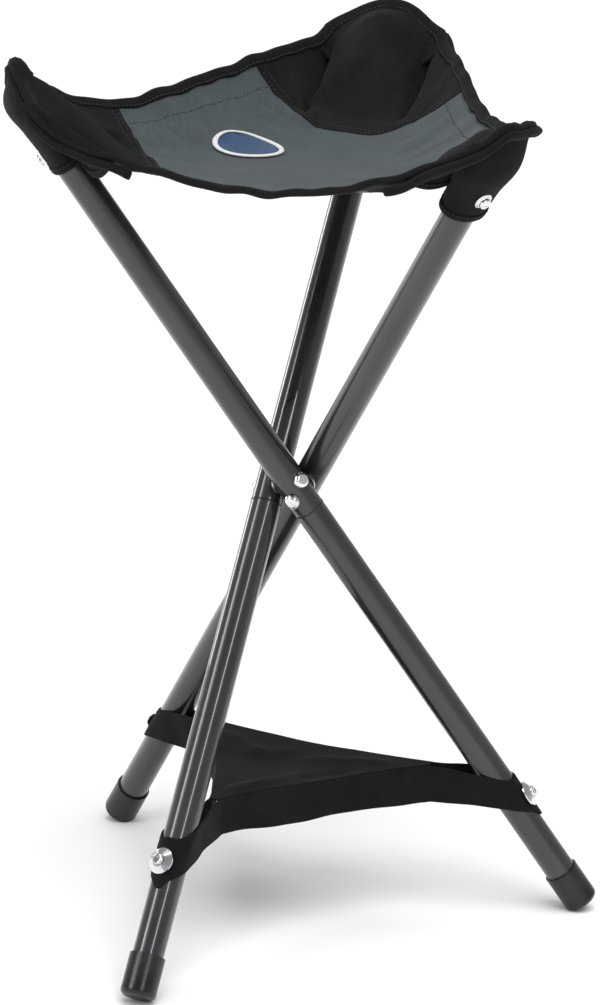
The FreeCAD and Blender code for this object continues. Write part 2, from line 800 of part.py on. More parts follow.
def make_seat():
    edges = {side: SeatEdge(*corners) for side, corners in EDGES.items()}
    left, right, front = edges["left"], edges["right"], edges["front"]
    seam_a = straight(front.at(front.cut_end), left.at(left.cut_start))
    seam_b = straight(left.at(left.cut_end), right.at(right.cut_start))
    seam_c = straight(right.at(right.cut_end), front.at(front.cut_start))
    middle = straight(seam_a[0], seam_b[-1])
    rear_half = coons_grid(
        middle, seam_b[::-1], left.stretch(left.cut_start, left.cut_end), seam_a
    )
    front_half = coons_grid(
        middle,
        right.stretch(right.cut_start, right.cut_end),
        seam_c[::-1],
        front.stretch(front.cut_end, front.cut_start),
    )
    faces = [seat_sheet(rear_half), seat_sheet(front_half)]
    make_sheet("seat_panel", faces, dim("seat_cloth"))
    make_corner_patch("a", front, left, seam_a)
    make_corner_patch("b", left, right, seam_b)
    make_corner_patch("c", right, front, seam_c)
    for side, edge in edges.items():
        make_binding(side, edge)
    make_badge()


# -------------------------------------------------------------------- spreader
FOOT_AZIMUTHS = {
    name: math.atan2(leg.point(-dim("spread_screw_down")).y,
                     leg.point(-dim("spread_screw_down")).x)
    for name, leg in LEGS.items()
}
WEB_CORNER_HALF = 4.0
STRAP_CLEAR = 1.0


def web_side(first, second, inset):
    """Three points of a web edge, bowed inwards and moved in by `inset`."""
    reach = dim("web_reach")
    start = flat(FOOT_AZIMUTHS[first], reach, WEB_CORNER_HALF - inset)
    end = flat(FOOT_AZIMUTHS[second], reach, inset - WEB_CORNER_HALF)
    middle = (start + end) * 0.5
    inward = middle * -1
    inward.normalize()
    return start, middle + inward * (dim("web_bow") + inset), end


def make_spreader():
    """A flat web with hanging edge bands, tied to each leg by a strap."""
    sides = {"ac": ("a", "c"), "cb": ("c", "b"), "ba": ("b", "a")}
    web_edges = []
    corners = []
    for first, second in sides.values():
        start, middle, end = web_side(first, second, 0.0)
        web_edges.append(Part.Arc(start, middle, end).toShape())
        corners.append((start, end))
    for (_, end), (start, _) in zip(corners, corners[1:] + corners[:1]):
        web_edges.append(Part.makeLine(end, start))
    outline = Part.Wire(Part.__sortEdges__(web_edges))
    face = Part.Face(outline)
    face.translate(UP * dim("web_high"))
    make_sheet("spreader_web", [face], dim("cloth"))

    for label, (first, second) in sides.items():
        curves = [
            Part.Arc(*web_side(first, second, inset)).toShape()
            for inset in (0.0, dim("cloth"))
        ]
        band = Part.makeRuledSurface(*curves)
        band.translate(UP * (dim("web_high") - dim("cloth") - dim("snug")))
        make_sheet(f"spreader_skirt_{label}", [band], dim("skirt_high"))

    for name, leg in LEGS.items():
        make_strap(name, leg)


def make_strap(name, leg):
    """The doubled strap from a web corner to its leg's loop."""
    inner = flat(FOOT_AZIMUTHS[name], dim("web_reach") + STRAP_CLEAR)
    high = inner + UP * dim("web_high")
    low = inner + UP * (dim("web_high") - dim("skirt_high"))
    half = dim("loop_wide") / 2
    clear = TUBE_R + dim("snug") + dim("cloth") + STRAP_CLEAR
    ends = []
    for along in (half, -half):
        on_axis = leg.point(along - dim("spread_screw_down"))
        inward = Vector(inner.x - on_axis.x, inner.y - on_axis.y, 0)
        inward.normalize()
        ends.append(on_axis + inward * clear / math.cos(LEAN))
    upper_edge = Part.makeLine(high, ends[0])
    lower_edge = Part.makeLine(low, ends[1])
    normal = (ends[0] - high).cross(low - high)
    normal.normalize()
    plate = Part.makeRuledSurface(upper_edge, lower_edge)
    plate.translate(normal * -dim("cloth"))
    feature = doc.addObject("Part::Feature", f"spreader_strap_{name}")
    feature.Shape = plate.extrude(normal * (2 * dim("cloth")))
    keep(f"spreader_strap_{name}", feature)


# ------------------------------------------------------------------- the stool
for leg_name, leg in LEGS.items():
    make_upper_tube(leg_name, leg)
    make_lower_tube(leg_name, leg)
    make_ferrule(leg_name, leg)
    make_top_plug(leg_name, leg)
    make_foot_cap(leg_name, leg)
    make_leg_fasteners(leg_name, leg)
    make_seat_pocket(leg_name, leg)
    make_spreader_loop(leg_name, leg)
for leg_name, crossing in CROSSINGS.items():
    make_hub_bolt(leg_name, crossing)
    make_hub_nut(leg_name, crossing)
    make_hub_washer(leg_name, crossing)
make_seat()
make_spreader()
doc.recompute()

failed = [
    item.Label
    for item in doc.Objects
    if any(flag in ("Invalid", "Error") for flag in item.State)
]
broken = [
    label
    for label, item in parts.items()
    if item.Shape.isNull() or not item.Shape.isValid() or not item.Shape.Solids
]
if failed or broken:
    raise RuntimeError(f"failed: {failed}; broken shapes: {broken}")

os.makedirs("parts", exist_ok=True)
for label, item in parts.items():
    item.Shape.exportStep(f"parts/{label}.step")

print("nodes", len(parts))
print("hub height", round(HUB_HEIGHT, 3))
for leg_name, crossing in CROSSINGS.items():
    print("bolt a" + leg_name, crossing.centre, crossing.outward,
          round(crossing.distance, 3), round(crossing.on_main, 3))
for leg_name, leg in LEGS.items():
    rest = leg.point(dim("cap_edge") - dim("cap_end")) - leg.across * CAP_CORNER_R
    print("floor contact", leg_name, round(rest.x, 3), round(rest.y, 3))
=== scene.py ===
import math

import bpy
import numpy as np
from mathutils import Matrix, Vector
from mathutils.bvhtree import BVHTree
from mathutils.geometry import delaunay_2d_cdt


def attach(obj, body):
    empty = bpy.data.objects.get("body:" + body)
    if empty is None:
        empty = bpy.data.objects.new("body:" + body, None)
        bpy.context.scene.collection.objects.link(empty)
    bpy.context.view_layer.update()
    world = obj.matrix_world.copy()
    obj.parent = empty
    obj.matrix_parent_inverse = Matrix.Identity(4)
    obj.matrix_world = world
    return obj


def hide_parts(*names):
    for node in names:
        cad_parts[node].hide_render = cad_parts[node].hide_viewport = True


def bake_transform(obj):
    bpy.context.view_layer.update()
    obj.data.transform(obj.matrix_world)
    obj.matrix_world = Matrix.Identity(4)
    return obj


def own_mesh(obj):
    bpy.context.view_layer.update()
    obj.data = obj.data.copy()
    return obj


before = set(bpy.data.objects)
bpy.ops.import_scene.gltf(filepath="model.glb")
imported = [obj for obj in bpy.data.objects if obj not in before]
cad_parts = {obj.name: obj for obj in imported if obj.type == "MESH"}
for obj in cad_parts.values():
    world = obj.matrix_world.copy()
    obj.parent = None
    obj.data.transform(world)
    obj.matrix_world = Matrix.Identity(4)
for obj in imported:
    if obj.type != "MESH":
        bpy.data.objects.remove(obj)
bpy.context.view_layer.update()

# A folding three-legged stool: a sling seat over three tube legs that cross at
# a hub, and a fabric spreader tied between the lower tubes. Metres, +Z up, the
# hub above the origin, and leg A's foot along +X. Heights along a leg are from
# its hub point.

MM = 0.001
UP = np.array([0.0, 0.0, 1.0])
FLAT = (1, 1, 0)

# ---- dimensions
LEAN = math.radians(34.85)
LEG_AZIMUTHS = {"a": -90.0, "b": 150.0, "c": 30.0}
LEG_OFFSET = 14.87 * MM
HUB_HEIGHT = 321.08 * MM
TUBE_R = 11.1 * MM
TUBE_TOP = 326 * MM
SPREAD_SCREW = -290 * MM
LOOP_WIDE = 30 * MM

SEAT_LOW = 550 * MM
SEAT_CLOTH = 1.6 * MM
PATCH_CLOTH = 2.6 * MM
# Each seat corner: how far its tip and its side ends are from the stool's axis,
# half its width there, the heights in millimetres of its shoulder, tip and other
# shoulder, and how far out its inner seam is and how much that seam is skewed.
CORNERS = {
    "a": (203 * MM, 194 * MM, 35 * MM, (613, 625, 612), 115 * MM, -0.09),
    "b": (207 * MM, 193 * MM, 44 * MM, (624, 630, 625), 108 * MM, 0.09),
    "c": (204 * MM, 193 * MM, 34 * MM, (612, 612, 605), 118 * MM, 0.0),
}
# Each edge, going round from leg A's corner: the corner that it ends at, how far
# its middle is from the stool's axis, and its heights in millimetres at its
# start, quarters and end.
EDGES = {
    "a": ("b", 118 * MM, (606, 583, 590, 600, 610)),
    "b": ("c", 128 * MM, (613, 604, 589, 592, 609)),
    "c": ("a", 118 * MM, (596, 566, 555, 566, 594)),
}
SEAM_BOW = 9 * MM

WEB_REACH = 106 * MM
WEB_HIGH = 111.5 * MM
WEB_BOW = 7 * MM
WEB_CORNER_HALF = 3 * MM
SKIRT_HIGH = 27 * MM
WEB_CLOTH = 1.3 * MM


# ---- small geometry
def unit(v):
    return v / np.linalg.norm(v)


def each_unit(vectors):
    lengths = np.linalg.norm(vectors, axis=1)
    return vectors / np.maximum(lengths, 1e-9)[:, None]


def running(path):
    """The distance along a path at each of its points."""
    return np.concatenate([[0], np.cumsum(np.linalg.norm(np.diff(path, axis=0), axis=1))])


def at_distance(where, along, values):
    """Values given at the distances `along`, read at the distances `where`."""
    return np.stack([np.interp(where, along, values[:, k]) for k in range(3)], axis=1)


def evened(ring, rounds):
    """A closed ring of points or directions with its small steps smoothed out."""
    for _ in range(rounds):
        ring = (np.roll(ring, 1, axis=0) + ring * 2 + np.roll(ring, -1, axis=0)) / 4
    return ring


def mirrored(side):
    """A profile's points and, in reverse, their mirror images below them."""
    return np.array(side + [(x, -y) for x, y in reversed(side) if y]) * MM


def plan(azimuth, out, sideways=0.0):
    """A point in plan, `out` along an azimuth and `sideways` to its left."""
    c, s = math.cos(azimuth), math.sin(azimuth)
    return np.array([out * c - sideways * s, out * s + sideways * c, 0.0])


def round_turns(count):
    """Even angles all the way round."""
    return np.arange(count) * 2 * math.pi / count


def ease(t):
    """0 below 0, 1 above 1, and a smooth step between."""
    t = np.clip(t, 0, 1)
    return t * t * (3 - 2 * t)


def hump(x, middle, width):
    return np.exp(-(((x - middle) / width) ** 2))


class Leg:
    """The axis of one leg tube and two directions across it: away from the
    stool's axis at the hub, and toward that axis above the hub."""

    def __init__(self, azimuth):
        turn = math.radians(azimuth)
        self.away = np.array([math.cos(turn), math.sin(turn), 0.0])
        around = np.array([-math.sin(turn), math.cos(turn), 0.0])
        self.hub = self.away * LEG_OFFSET + UP * HUB_HEIGHT
        self.along = around * -math.sin(LEAN) + UP * math.cos(LEAN)
        self.across = np.cross(self.along, self.away)
        top, foot = self.point(TUBE_TOP), self.point(SPREAD_SCREW)
        self.top_azimuth = math.atan2(top[1], top[0])
        self.foot_azimuth = math.atan2(foot[1], foot[0])

    def point(self, height):
        return self.hub + self.along * height


LEGS = {name: Leg(azimuth) for name, azimuth in LEG_AZIMUTHS.items()}


def vertex_normals(points, faces):
    normals = np.zeros_like(points)
    for face in faces:
        a, b, c = points[face[0]], points[face[1]], points[face[-1]]
        normal = np.cross(b - a, c - a)
        for i in face:
            normals[i] += normal
    return each_unit(normals)


def make_mesh(name, points, faces, uvs=None, normals=None):
    """A smooth mesh object; uvs and normals are given for each vertex."""
    mesh = bpy.data.meshes.new(name)
    mesh.from_pydata([tuple(p) for p in points], [], [tuple(f) for f in faces])
    mesh.shade_smooth()
    layer = mesh.uv_layers.new(name="cloth")
    if uvs is not None:
        corner = np.empty(len(mesh.loops), int)
        mesh.loops.foreach_get("vertex_index", corner)
        layer.data.foreach_set("uv", np.asarray(uvs)[corner].ravel())
    if normals is not None:
        mesh.normals_split_custom_set(normals)
    obj = bpy.data.objects.new(name, mesh)
    bpy.context.scene.collection.objects.link(obj)
    return obj


def rim_edges(faces):
    """The edges that only one face uses, in that face's direction."""
    used = {}
    for face in faces:
        for i, j in zip(face, face[1:] + face[:1]):
            key = (min(i, j), max(i, j))
            used[key] = None if key in used else (i, j)
    return [pair for pair in used.values() if pair]


def thick_sheet(name, points, faces, uvs, normals, thickness, lift=0.0):
    """A closed sheet of cloth about a middle surface, `lift` along its normals."""
    used = sorted({i for f in faces for i in f})
    new = {old: i for i, old in enumerate(used)}
    points, uvs, normals = points[used], uvs[used], normals[used]
    faces = [tuple(new[i] for i in f) for f in faces]
    count = len(points)
    upper = points + normals * (lift + thickness / 2)
    lower = points + normals * (lift - thickness / 2)
    sides = [(j, i, i + count, j + count) for i, j in rim_edges(faces)]
    backs = [tuple(i + count for i in reversed(f)) for f in faces]
    shades = [tuple(normals[i]) for f in faces for i in f]
    shades += [tuple(-normals[i - count]) for f in backs for i in f]
    shades += [(0.0, 0.0, 0.0)] * (4 * len(sides))
    return make_mesh(name, np.vstack([upper, lower]), faces + backs + sides,
                     np.vstack([uvs, uvs]), shades)


def grid_faces(rows, columns):
    corners = [r * columns + c for r in range(rows - 1) for c in range(columns - 1)]
    return [(i, i + 1, i + columns + 1, i + columns) for i in corners]


def grid_uvs(grid):
    """Distances along a grid's middle row and column, as cloth coordinates."""
    rows, columns = grid.shape[:2]
    u, v = running(grid[rows // 2]), running(grid[:, columns // 2])
    return np.stack(np.meshgrid(u, v), axis=-1).reshape(-1, 2)


def grid_sheet(name, grid, thickness):
    """A closed sheet of cloth about rows of points."""
    grid = np.array(grid)
    points, faces = grid.reshape(-1, 3), grid_faces(*grid.shape[:2])
    return thick_sheet(name, points, faces, grid_uvs(grid),
                       vertex_normals(points, faces), thickness)


def swept(path, outs, ups, profile, closed=False, sizes=None):
    """Points and faces of a profile of (out, up) pairs carried along a path, its
    ends capped. sizes scales the profile at each point of the path."""
    count, width = len(path), len(profile)
    sizes = np.ones(count) if sizes is None else sizes
    points = np.array([
        p + (o * x + u * y) * size
        for p, o, u, size in zip(path, outs, ups, sizes)
        for x, y in profile
    ])
    faces = []
    for i in range(count if closed else count - 1):
        n = (i + 1) % count
        for j in range(width):
            k = (j + 1) % width
            faces.append((i * width + j, i * width + k, n * width + k, n * width + j))
    if not closed:
        faces.append(tuple(reversed(range(width))))
        faces.append(tuple((count - 1) * width + j for j in range(width)))
    return points, faces


def sweep(name, path, outs, ups, profile, **options):
    """A swept piece, with cloth coordinates along and across it."""
    uvs = [(along, across) for along in running(path) for across in running(profile)]
    return make_mesh(name, *swept(path, outs, ups, profile, **options), uvs)


# ---- materials
class Shader:
    """A node material with a few short ways to build its nodes."""

    def __init__(self, name, **sockets):
        self.material = bpy.data.materials.new(name)
        self.material.use_nodes = True
        self.nodes = self.material.node_tree.nodes
        self.links = self.material.node_tree.links
        self.surface = self.nodes["Principled BSDF"]
        for socket, value in sockets.items():
            self.surface.inputs[socket.replace("_", " ")].default_value = value

    def node(self, kind, inputs=None, **settings):
        node = self.nodes.new(kind)
        for key, value in settings.items():
            setattr(node, key, value)
        for key, value in (inputs or {}).items():
            if isinstance(value, bpy.types.NodeSocket):
                self.links.new(value, node.inputs[key])
            else:
                node.inputs[key].default_value = value
        return node

    def math(self, operation, first, second=0.0):
        node = self.node("ShaderNodeMath", {0: first, 1: second}, operation=operation)
        return node.outputs[0]

    def coordinates(self, kind):
        return self.node("ShaderNodeTexCoord").outputs[kind]

    def total(self, *parts):
        """The sum of some values, each times its weight."""
        amount = self.math("MULTIPLY", *parts[0])
        for value, weight in parts[1:]:
            amount = self.math("ADD", amount, self.math("MULTIPLY", value, weight))
        return amount

    def noise(self, vector, scale, detail=3.0, stretch=(1, 1, 1)):
        mapped = self.node("ShaderNodeMapping", {"Vector": vector, "Scale": stretch})
        inputs = {"Vector": mapped.outputs[0], "Scale": scale, "Detail": detail}
        return self.node("ShaderNodeTexNoise", inputs).outputs[0]

    def ramp(self, value, low, high, at=(0.0, 1.0)):
        node = self.node("ShaderNodeValToRGB", {0: value})
        for element, place, colour in zip(node.color_ramp.elements, at, (low, high)):
            element.position = place
            element.color = (*colour, 1.0)
        return node.outputs[0]

    def colour(self, socket):
        self.links.new(socket, self.surface.inputs["Base Color"])

    def roughness(self, value, low, high):
        node = self.node("ShaderNodeMapRange", {"Value": value, "To Min": low, "To Max": high})
        self.links.new(node.outputs[0], self.surface.inputs["Roughness"])

    def bump(self, height, distance, strength=1.0):
        inputs = {"Height": height, "Distance": distance, "Strength": strength}
        node = self.node("ShaderNodeBump", inputs)
        self.links.new(node.outputs[0], self.surface.inputs["Normal"])


# Noises of woven cloth: its thick and thin threads, its blotches, and how much
# its roughness varies with them.
SLUB_SCALE, SLUB_STRETCH = 40.0, 22
BLOTCH_SCALE = 38.0
ROUGHNESS_SPREAD = 0.08


def woven(name, dark, light, pitch, depth, nap, roughness, sheen):
    """Plain weave in cloth coordinates; nap is how blotchy its colour is."""
    shader = Shader(name, Sheen_Weight=sheen, Sheen_Roughness=0.5,
                    Specular_IOR_Level=0.16)
    uv = shader.coordinates("UV")
    split = shader.node("ShaderNodeSeparateXYZ", {0: uv})
    turn = 2 * math.pi / pitch
    warp, weft = (shader.math("SINE", shader.math("MULTIPLY", split.outputs[k], turn))
                  for k in (0, 1))
    crossing = shader.math("MULTIPLY", warp, weft)
    thread = shader.math("MULTIPLY_ADD", crossing, 0.5)
    thread.node.inputs[2].default_value = 0.5
    slub = shader.math("ADD", *(
        shader.noise(uv, SLUB_SCALE, 2.0, stretch)
        for stretch in ((1, SLUB_STRETCH, 1), (SLUB_STRETCH, 1, 1))
    ))
    blotch = shader.noise(shader.coordinates("Object"), BLOTCH_SCALE, 4.0)
    tone = shader.total((thread, 0.3), (slub, 0.35), (blotch, nap))
    tone = shader.math("DIVIDE", tone, 1.0 + nap)
    shader.colour(shader.ramp(tone, dark, light, (0.3, 0.75)))
    shader.roughness(blotch, roughness - ROUGHNESS_SPREAD, roughness + ROUGHNESS_SPREAD)
    shader.bump(shader.total((thread, 1.0), (slub, 0.5)), depth)
    return shader.material


def painted_tube():
    """Glossy charcoal paint with a fine grain."""
    shader = Shader("painted_tube", Coat_Weight=0.8, Coat_Roughness=0.03, Metallic=0.3)
    place = shader.coordinates("Object")
    drift = shader.noise(place, 14.0, 3.0)
    specks = shader.noise(place, 900.0, 2.0)
    tone = shader.total((drift, 0.7), (specks, 0.3))
    shader.colour(shader.ramp(tone, (0.012, 0.012, 0.014), (0.024, 0.024, 0.027),
                              (0.35, 0.65)))
    shader.roughness(drift, 0.24, 0.34)
    shader.bump(specks, 0.03 * MM, 0.5)
    return shader.material


def bare_metal(name, dark, light, low, high, brushed):
    """Plated metal; low and high are its roughness."""
    shader = Shader(name, Metallic=1.0)
    place = shader.coordinates("Object")
    grain = shader.noise(place, 260.0, 3.0, (1, 1, brushed))
    cloudy = shader.noise(place, 60.0, 3.0)
    shader.colour(shader.ramp(cloudy, dark, light, (0.3, 0.7)))
    shader.roughness(cloudy, low, high)
    shader.bump(grain, 0.02 * MM, 0.5)
    return shader.material


def moulded(name, dark, light, low, high, grain_size):
    """Rubber or plastic with a grain; low and high are its roughness."""
    shader = Shader(name, Specular_IOR_Level=0.4)
    place = shader.coordinates("Object")
    grain = shader.noise(place, 1 / grain_size, 3.0)
    scuffs = shader.noise(place, 45.0, 5.0)
    shader.colour(shader.ramp(scuffs, dark, light, (0.35, 0.72)))
    shader.roughness(scuffs, low, high)
    shader.bump(grain, 0.12 * MM, 0.6)
    return shader.material


PAINT = painted_tube()
CHROME = bare_metal("chrome_screw", (0.55, 0.56, 0.57), (0.82, 0.83, 0.84),
                    0.08, 0.2, 1)
STEEL = bare_metal("steel_washer", (0.4, 0.4, 0.41), (0.6, 0.6, 0.61), 0.25, 0.4, 1)
FERRULE = bare_metal("ferrule_metal", (0.35, 0.35, 0.36), (0.5, 0.5, 0.52),
                     0.2, 0.3, 0.2)
RUBBER = moulded("cap_rubber", (0.005, 0.005, 0.005), (0.015, 0.015, 0.015),
                 0.2, 0.34, 0.8 * MM)
PLASTIC = moulded("plug_plastic", (0.015, 0.015, 0.016), (0.03, 0.03, 0.032),
                  0.45, 0.6, 0.6 * MM)
GREY_CLOTH = woven("grey_weave", (0.024, 0.033, 0.036), (0.062, 0.079, 0.085),
                   1.5 * MM, 0.2 * MM, 0.25, 0.72, 0.15)
BLACK_CLOTH = woven("black_weave", (0.0008, 0.0008, 0.0008), (0.011, 0.011, 0.011),
                    1.3 * MM, 0.18 * MM, 0.9, 0.86, 0.02)
TAPE_CLOTH = woven("black_tape", (0.0008, 0.0008, 0.0008), (0.009, 0.009, 0.009),
                   1.1 * MM, 0.2 * MM, 0.5, 0.84, 0.02)
BADGE_CLOTH = woven("badge_twill", (0.01, 0.03, 0.075), (0.025, 0.07, 0.15),
                    0.9 * MM, 0.12 * MM, 0.2, 0.6, 0.2)
BADGE_THREAD = woven("badge_border", (0.55, 0.55, 0.53), (0.85, 0.85, 0.83),
                     0.9 * MM, 0.25 * MM, 0.1, 0.6, 0.2)
DARK_THREAD = woven("dark_thread", (0.008, 0.008, 0.009), (0.05, 0.05, 0.052),
                    0.4 * MM, 0.08 * MM, 0.3, 0.6, 0.1)


def dress(obj, material, replaces=()):
    """Give a made piece its material and the nodes it stands for."""
    obj.data.materials.clear()
    obj.data.materials.append(material)
    if replaces:
        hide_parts(*replaces)
    return obj


# A word in a node's name and its material; the first that fits is used.
NODE_MATERIALS = {
    "tube": PAINT,
    "ferrule": FERRULE,
    "foot_cap": RUBBER,
    "plug": PLASTIC,
    "bolt": CHROME,
    "nut": CHROME,
    "hub_washer": STEEL,
    "screw": CHROME,
    "washer": CHROME,
}
for node_name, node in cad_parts.items():
    for word, material in NODE_MATERIALS.items():
        if word in node_name:
            for slot in node.material_slots:
                slot.material = material
            break


# ---- triangulating
CLEAR_OF_FIXED = 0.6


def fill_outline(outline, chains, pitch):
    """Triangulate a plan outline with even points inside it and edges along
    the chains. Returns plan points, triangles and the new index of each given
    point, in the order outline then chains."""
    fixed = [p[:2] for p in outline]
    edges = [(i, (i + 1) % len(outline)) for i in range(len(outline))]
    for chain in chains:
        first = len(fixed)
        fixed += [p[:2] for p in chain]
        edges += [(first + i, first + i + 1) for i in range(len(chain) - 1)]
    fixed = np.array(fixed)
    low, high = fixed.min(axis=0), fixed.max(axis=0)
    rise = pitch * math.sin(math.radians(60))
    lattice = np.array([
        (x + (row % 2) * pitch / 2, low[1] + row * rise)
        for row in range(int((high[1] - low[1]) / rise) + 1)
        for x in np.arange(low[0], high[0], pitch)
    ])
    ring = fixed[: len(outline)]
    inside = np.zeros(len(lattice), bool)
    for p, q in zip(ring, np.roll(ring, -1, axis=0)):
        crosses = (p[1] > lattice[:, 1]) != (q[1] > lattice[:, 1])
        slope = (q[0] - p[0]) / (q[1] - p[1]) if q[1] != p[1] else 0.0
        inside ^= crosses & (lattice[:, 0] < p[0] + slope * (lattice[:, 1] - p[1]))
    lattice = lattice[inside]
    gaps = np.min(np.linalg.norm(lattice[:, None] - fixed[None], axis=2), axis=1)
    lattice = lattice[gaps > CLEAR_OF_FIXED * pitch]
    given = [Vector(p) for p in np.vstack([fixed, lattice])]
    made = delaunay_2d_cdt(given, edges, [], 1, 1e-6)
    points = np.array([(p[0], p[1], 0.0) for p in made[0]])
    index = {old: new for new, olds in enumerate(made[3]) for old in olds}
    order = [index[i] for i in range(len(fixed))]
    return points, [tuple(f) for f in made[2]], order


# ---- seat rim
def bowed(start, middle, end, steps, last=0):
    """Even steps along a parabola from the start through the middle to the end;
    the end itself is there only where last is 1."""
    share = (np.arange(steps + last) / steps)[:, None]
    pull = middle * 2 - (start + end) / 2
    return start * (1 - share)**2 + pull * (2 * (1 - share) * share) + end * share**2


def straight(start, end, pitch):
    """Even points from the start to the end, at least `pitch` apart."""
    steps = int(np.linalg.norm(end - start) / pitch)
    return start + (end - start) * (np.arange(steps + 1) / steps)[:, None]


def smooth_curve(knots, values, where):
    """A smooth curve through the values, numbers or arrays, at the knots."""
    slopes = np.gradient(values, knots, axis=0)
    i = np.clip(np.searchsorted(knots, where, "right") - 1, 0, len(knots) - 2)
    gap = knots[i + 1] - knots[i]
    t = (where - knots[i]) / gap
    wide = (-1,) + (1,) * (values.ndim - 1)
    t, gap = t.reshape(wide), gap.reshape(wide)
    return (
        values[i] * (1 + 2 * t) * (1 - t) ** 2
        + slopes[i] * gap * t * (1 - t) ** 2
        + values[i + 1] * t**2 * (3 - 2 * t)
        + slopes[i + 1] * gap * t**2 * (t - 1)
    )


def closed_curve(knots, values, period, where):
    """A smooth curve through values that come round again after the period."""
    knots = np.concatenate([knots[-2:] - period, knots, knots[:2] + period])
    values = np.concatenate([values[-2:], values, values[:2]])
    return smooth_curve(knots, values, where)


TIP_STEPS = 24
EDGE_STEPS = 96
# Ripples of the rim: their length, height and phase.
RIM_RIPPLES = ((47 * MM, 0.7 * MM, 1.3), (30.5 * MM, 0.56 * MM, 0.0))


def corner_plan(name):
    """A seat corner's first side end, tip and other side end, clockwise."""
    azimuth = LEGS[name].top_azimuth
    reach, side_out, half = CORNERS[name][:3]
    return [plan(azimuth, out, aside)
            for out, aside in ((side_out, half), (reach, 0.0), (side_out, -half))]


class Rim:
    """The seat's closed edge, clockwise from the start of leg A's corner."""

    def __init__(self):
        pieces, knots, heights = [], [], []
        self.tip_index, self.edge_index = {}, {}
        count = 0
        for name in EDGES:
            following, middle_out, edge_heights = EDGES[name]
            corner, end = corner_plan(name), corner_plan(following)[0]
            middle = unit((corner[2] + end) / 2) * middle_out
            self.tip_index[name] = count + TIP_STEPS // 2
            self.edge_index[name] = count + TIP_STEPS + EDGE_STEPS // 2
            for ends, steps, quarters, measured in (
                (corner, TIP_STEPS, (1, 2, 3), CORNERS[name][3]),
                ((corner[2], middle, end), EDGE_STEPS, range(5), edge_heights),
            ):
                pieces.append(bowed(*ends, steps))
                knots += [count + quarter * steps // 4 for quarter in quarters]
                heights += measured
                count += steps
        self.points = np.vstack(pieces)
        steps = np.linalg.norm(np.roll(self.points, -1, axis=0) - self.points, axis=1)
        self.length = steps.sum()
        self.along = np.concatenate([[0], np.cumsum(steps)[:-1]])
        knots = np.array(knots)
        where = self.along[knots % count] + (knots // count) * self.length
        where = where % self.length
        order = np.argsort(where)
        heights = np.array(heights)[order] * MM
        self.points[:, 2] = closed_curve(where[order], heights, self.length, self.along)
        for length, height, phase in RIM_RIPPLES:
            self.points[:, 2] += height * np.sin(self.along * 2 * math.pi / length + phase)
        turns = np.arctan2(self.points[:, 1], self.points[:, 0])
        order = np.argsort(turns)
        self.turns = turns[order]
        self.outs = np.hypot(self.points[order, 0], self.points[order, 1])
        self.heights = self.points[order, 2]

    def toward(self, x, y):
        """The share of the way out to the rim, and the rim's height there."""
        turn = np.arctan2(y, x)
        out = np.interp(turn, self.turns, self.outs, period=2 * math.pi)
        height = np.interp(turn, self.turns, self.heights, period=2 * math.pi)
        return np.hypot(x, y) / out, height


RIM = Rim()


# ---- the seat's cloth
SEAT_PITCH = 4 * MM
SEAM_PITCH = 3 * MM
# How steeply the sling's dish rises toward the rim.
DISH_POWER = 3.4
# The share of the way out to the rim from which folds and rises fade out.
STILL_FROM = 0.88
# The share of a fold's length over which each of its ends fades out.
FOLD_FADE = 0.3
# Folds in the sling: two plan points, width across and height, millimetres.
SEAT_FOLDS = [
    ((-150, -78), (20, -112), 5, 2.0),
    ((20, -112), (110, -128), 5, 1.5),
    ((-120, 20), (-30, 60), 7, -1.2),
    ((-90, -30), (0, 0), 9, 1.2),
    ((60, 60), (20, 10), 9, -1.0),
    ((70, -60), (10, -30), 10, 1.2),
    ((120, 40), (60, 10), 7, 1.4),
]


def fold(x, y, start, end, width, height):
    """A soft ridge along a line, fading at both ends."""
    start, end = np.array(start) * MM, np.array(end) * MM
    length, ahead = np.linalg.norm(end - start), unit(end - start)
    along = (x - start[0]) * ahead[0] + (y - start[1]) * ahead[1]
    across = (x - start[0]) * -ahead[1] + (y - start[1]) * ahead[0]
    run = FOLD_FADE * length
    fade = ease(along / run) * ease((length - along) / run)
    return height * MM * fade * hump(across, 0, width * MM)


# Padded rise of each corner over its tube end: height, half width, and the depth
# of the crease at each side of it.
CORNER_RISE = {
    "a": (9 * MM, 27 * MM, 3 * MM),
    "b": (19 * MM, 36 * MM, 12 * MM),
    "c": (14 * MM, 34 * MM, 3 * MM),
}
# How far from the stool's axis the rise and the crease begin, and their run-in.
RISE_FROM, RISE_RUN = 118 * MM, 40 * MM
CREASE_FROM, CREASE_RUN = 98 * MM, 34 * MM
CREASE_ASIDE = 2 * MM
CREASE_HALF = 4 * MM
# How full the rise is across: 1 is a parabola, more is more pointed.
RISE_POWER = 1.2


def seat_height(x, y):
    share, rim_height = RIM.toward(x, y)
    height = SEAT_LOW + (rim_height - SEAT_LOW) * share**DISH_POWER
    still = 1 - ease((share - STILL_FROM) / (1 - STILL_FROM))
    for start, end, width, high in SEAT_FOLDS:
        height = height + fold(x, y, start, end, width, high) * still
    for name, (high, half, crease) in CORNER_RISE.items():
        azimuth = LEGS[name].top_azimuth
        ahead = x * math.cos(azimuth) + y * math.sin(azimuth)
        aside = np.abs(y * math.cos(azimuth) - x * math.sin(azimuth))
        body = np.clip(1 - (aside / half) ** 2, 0, 1) ** RISE_POWER
        rise = high * ease((ahead - RISE_FROM) / RISE_RUN) * body
        groove = hump(aside, half + CREASE_ASIDE, CREASE_HALF)
        rise = rise - crease * ease((ahead - CREASE_FROM) / CREASE_RUN) * groove
        height = height + rise * still
    return height


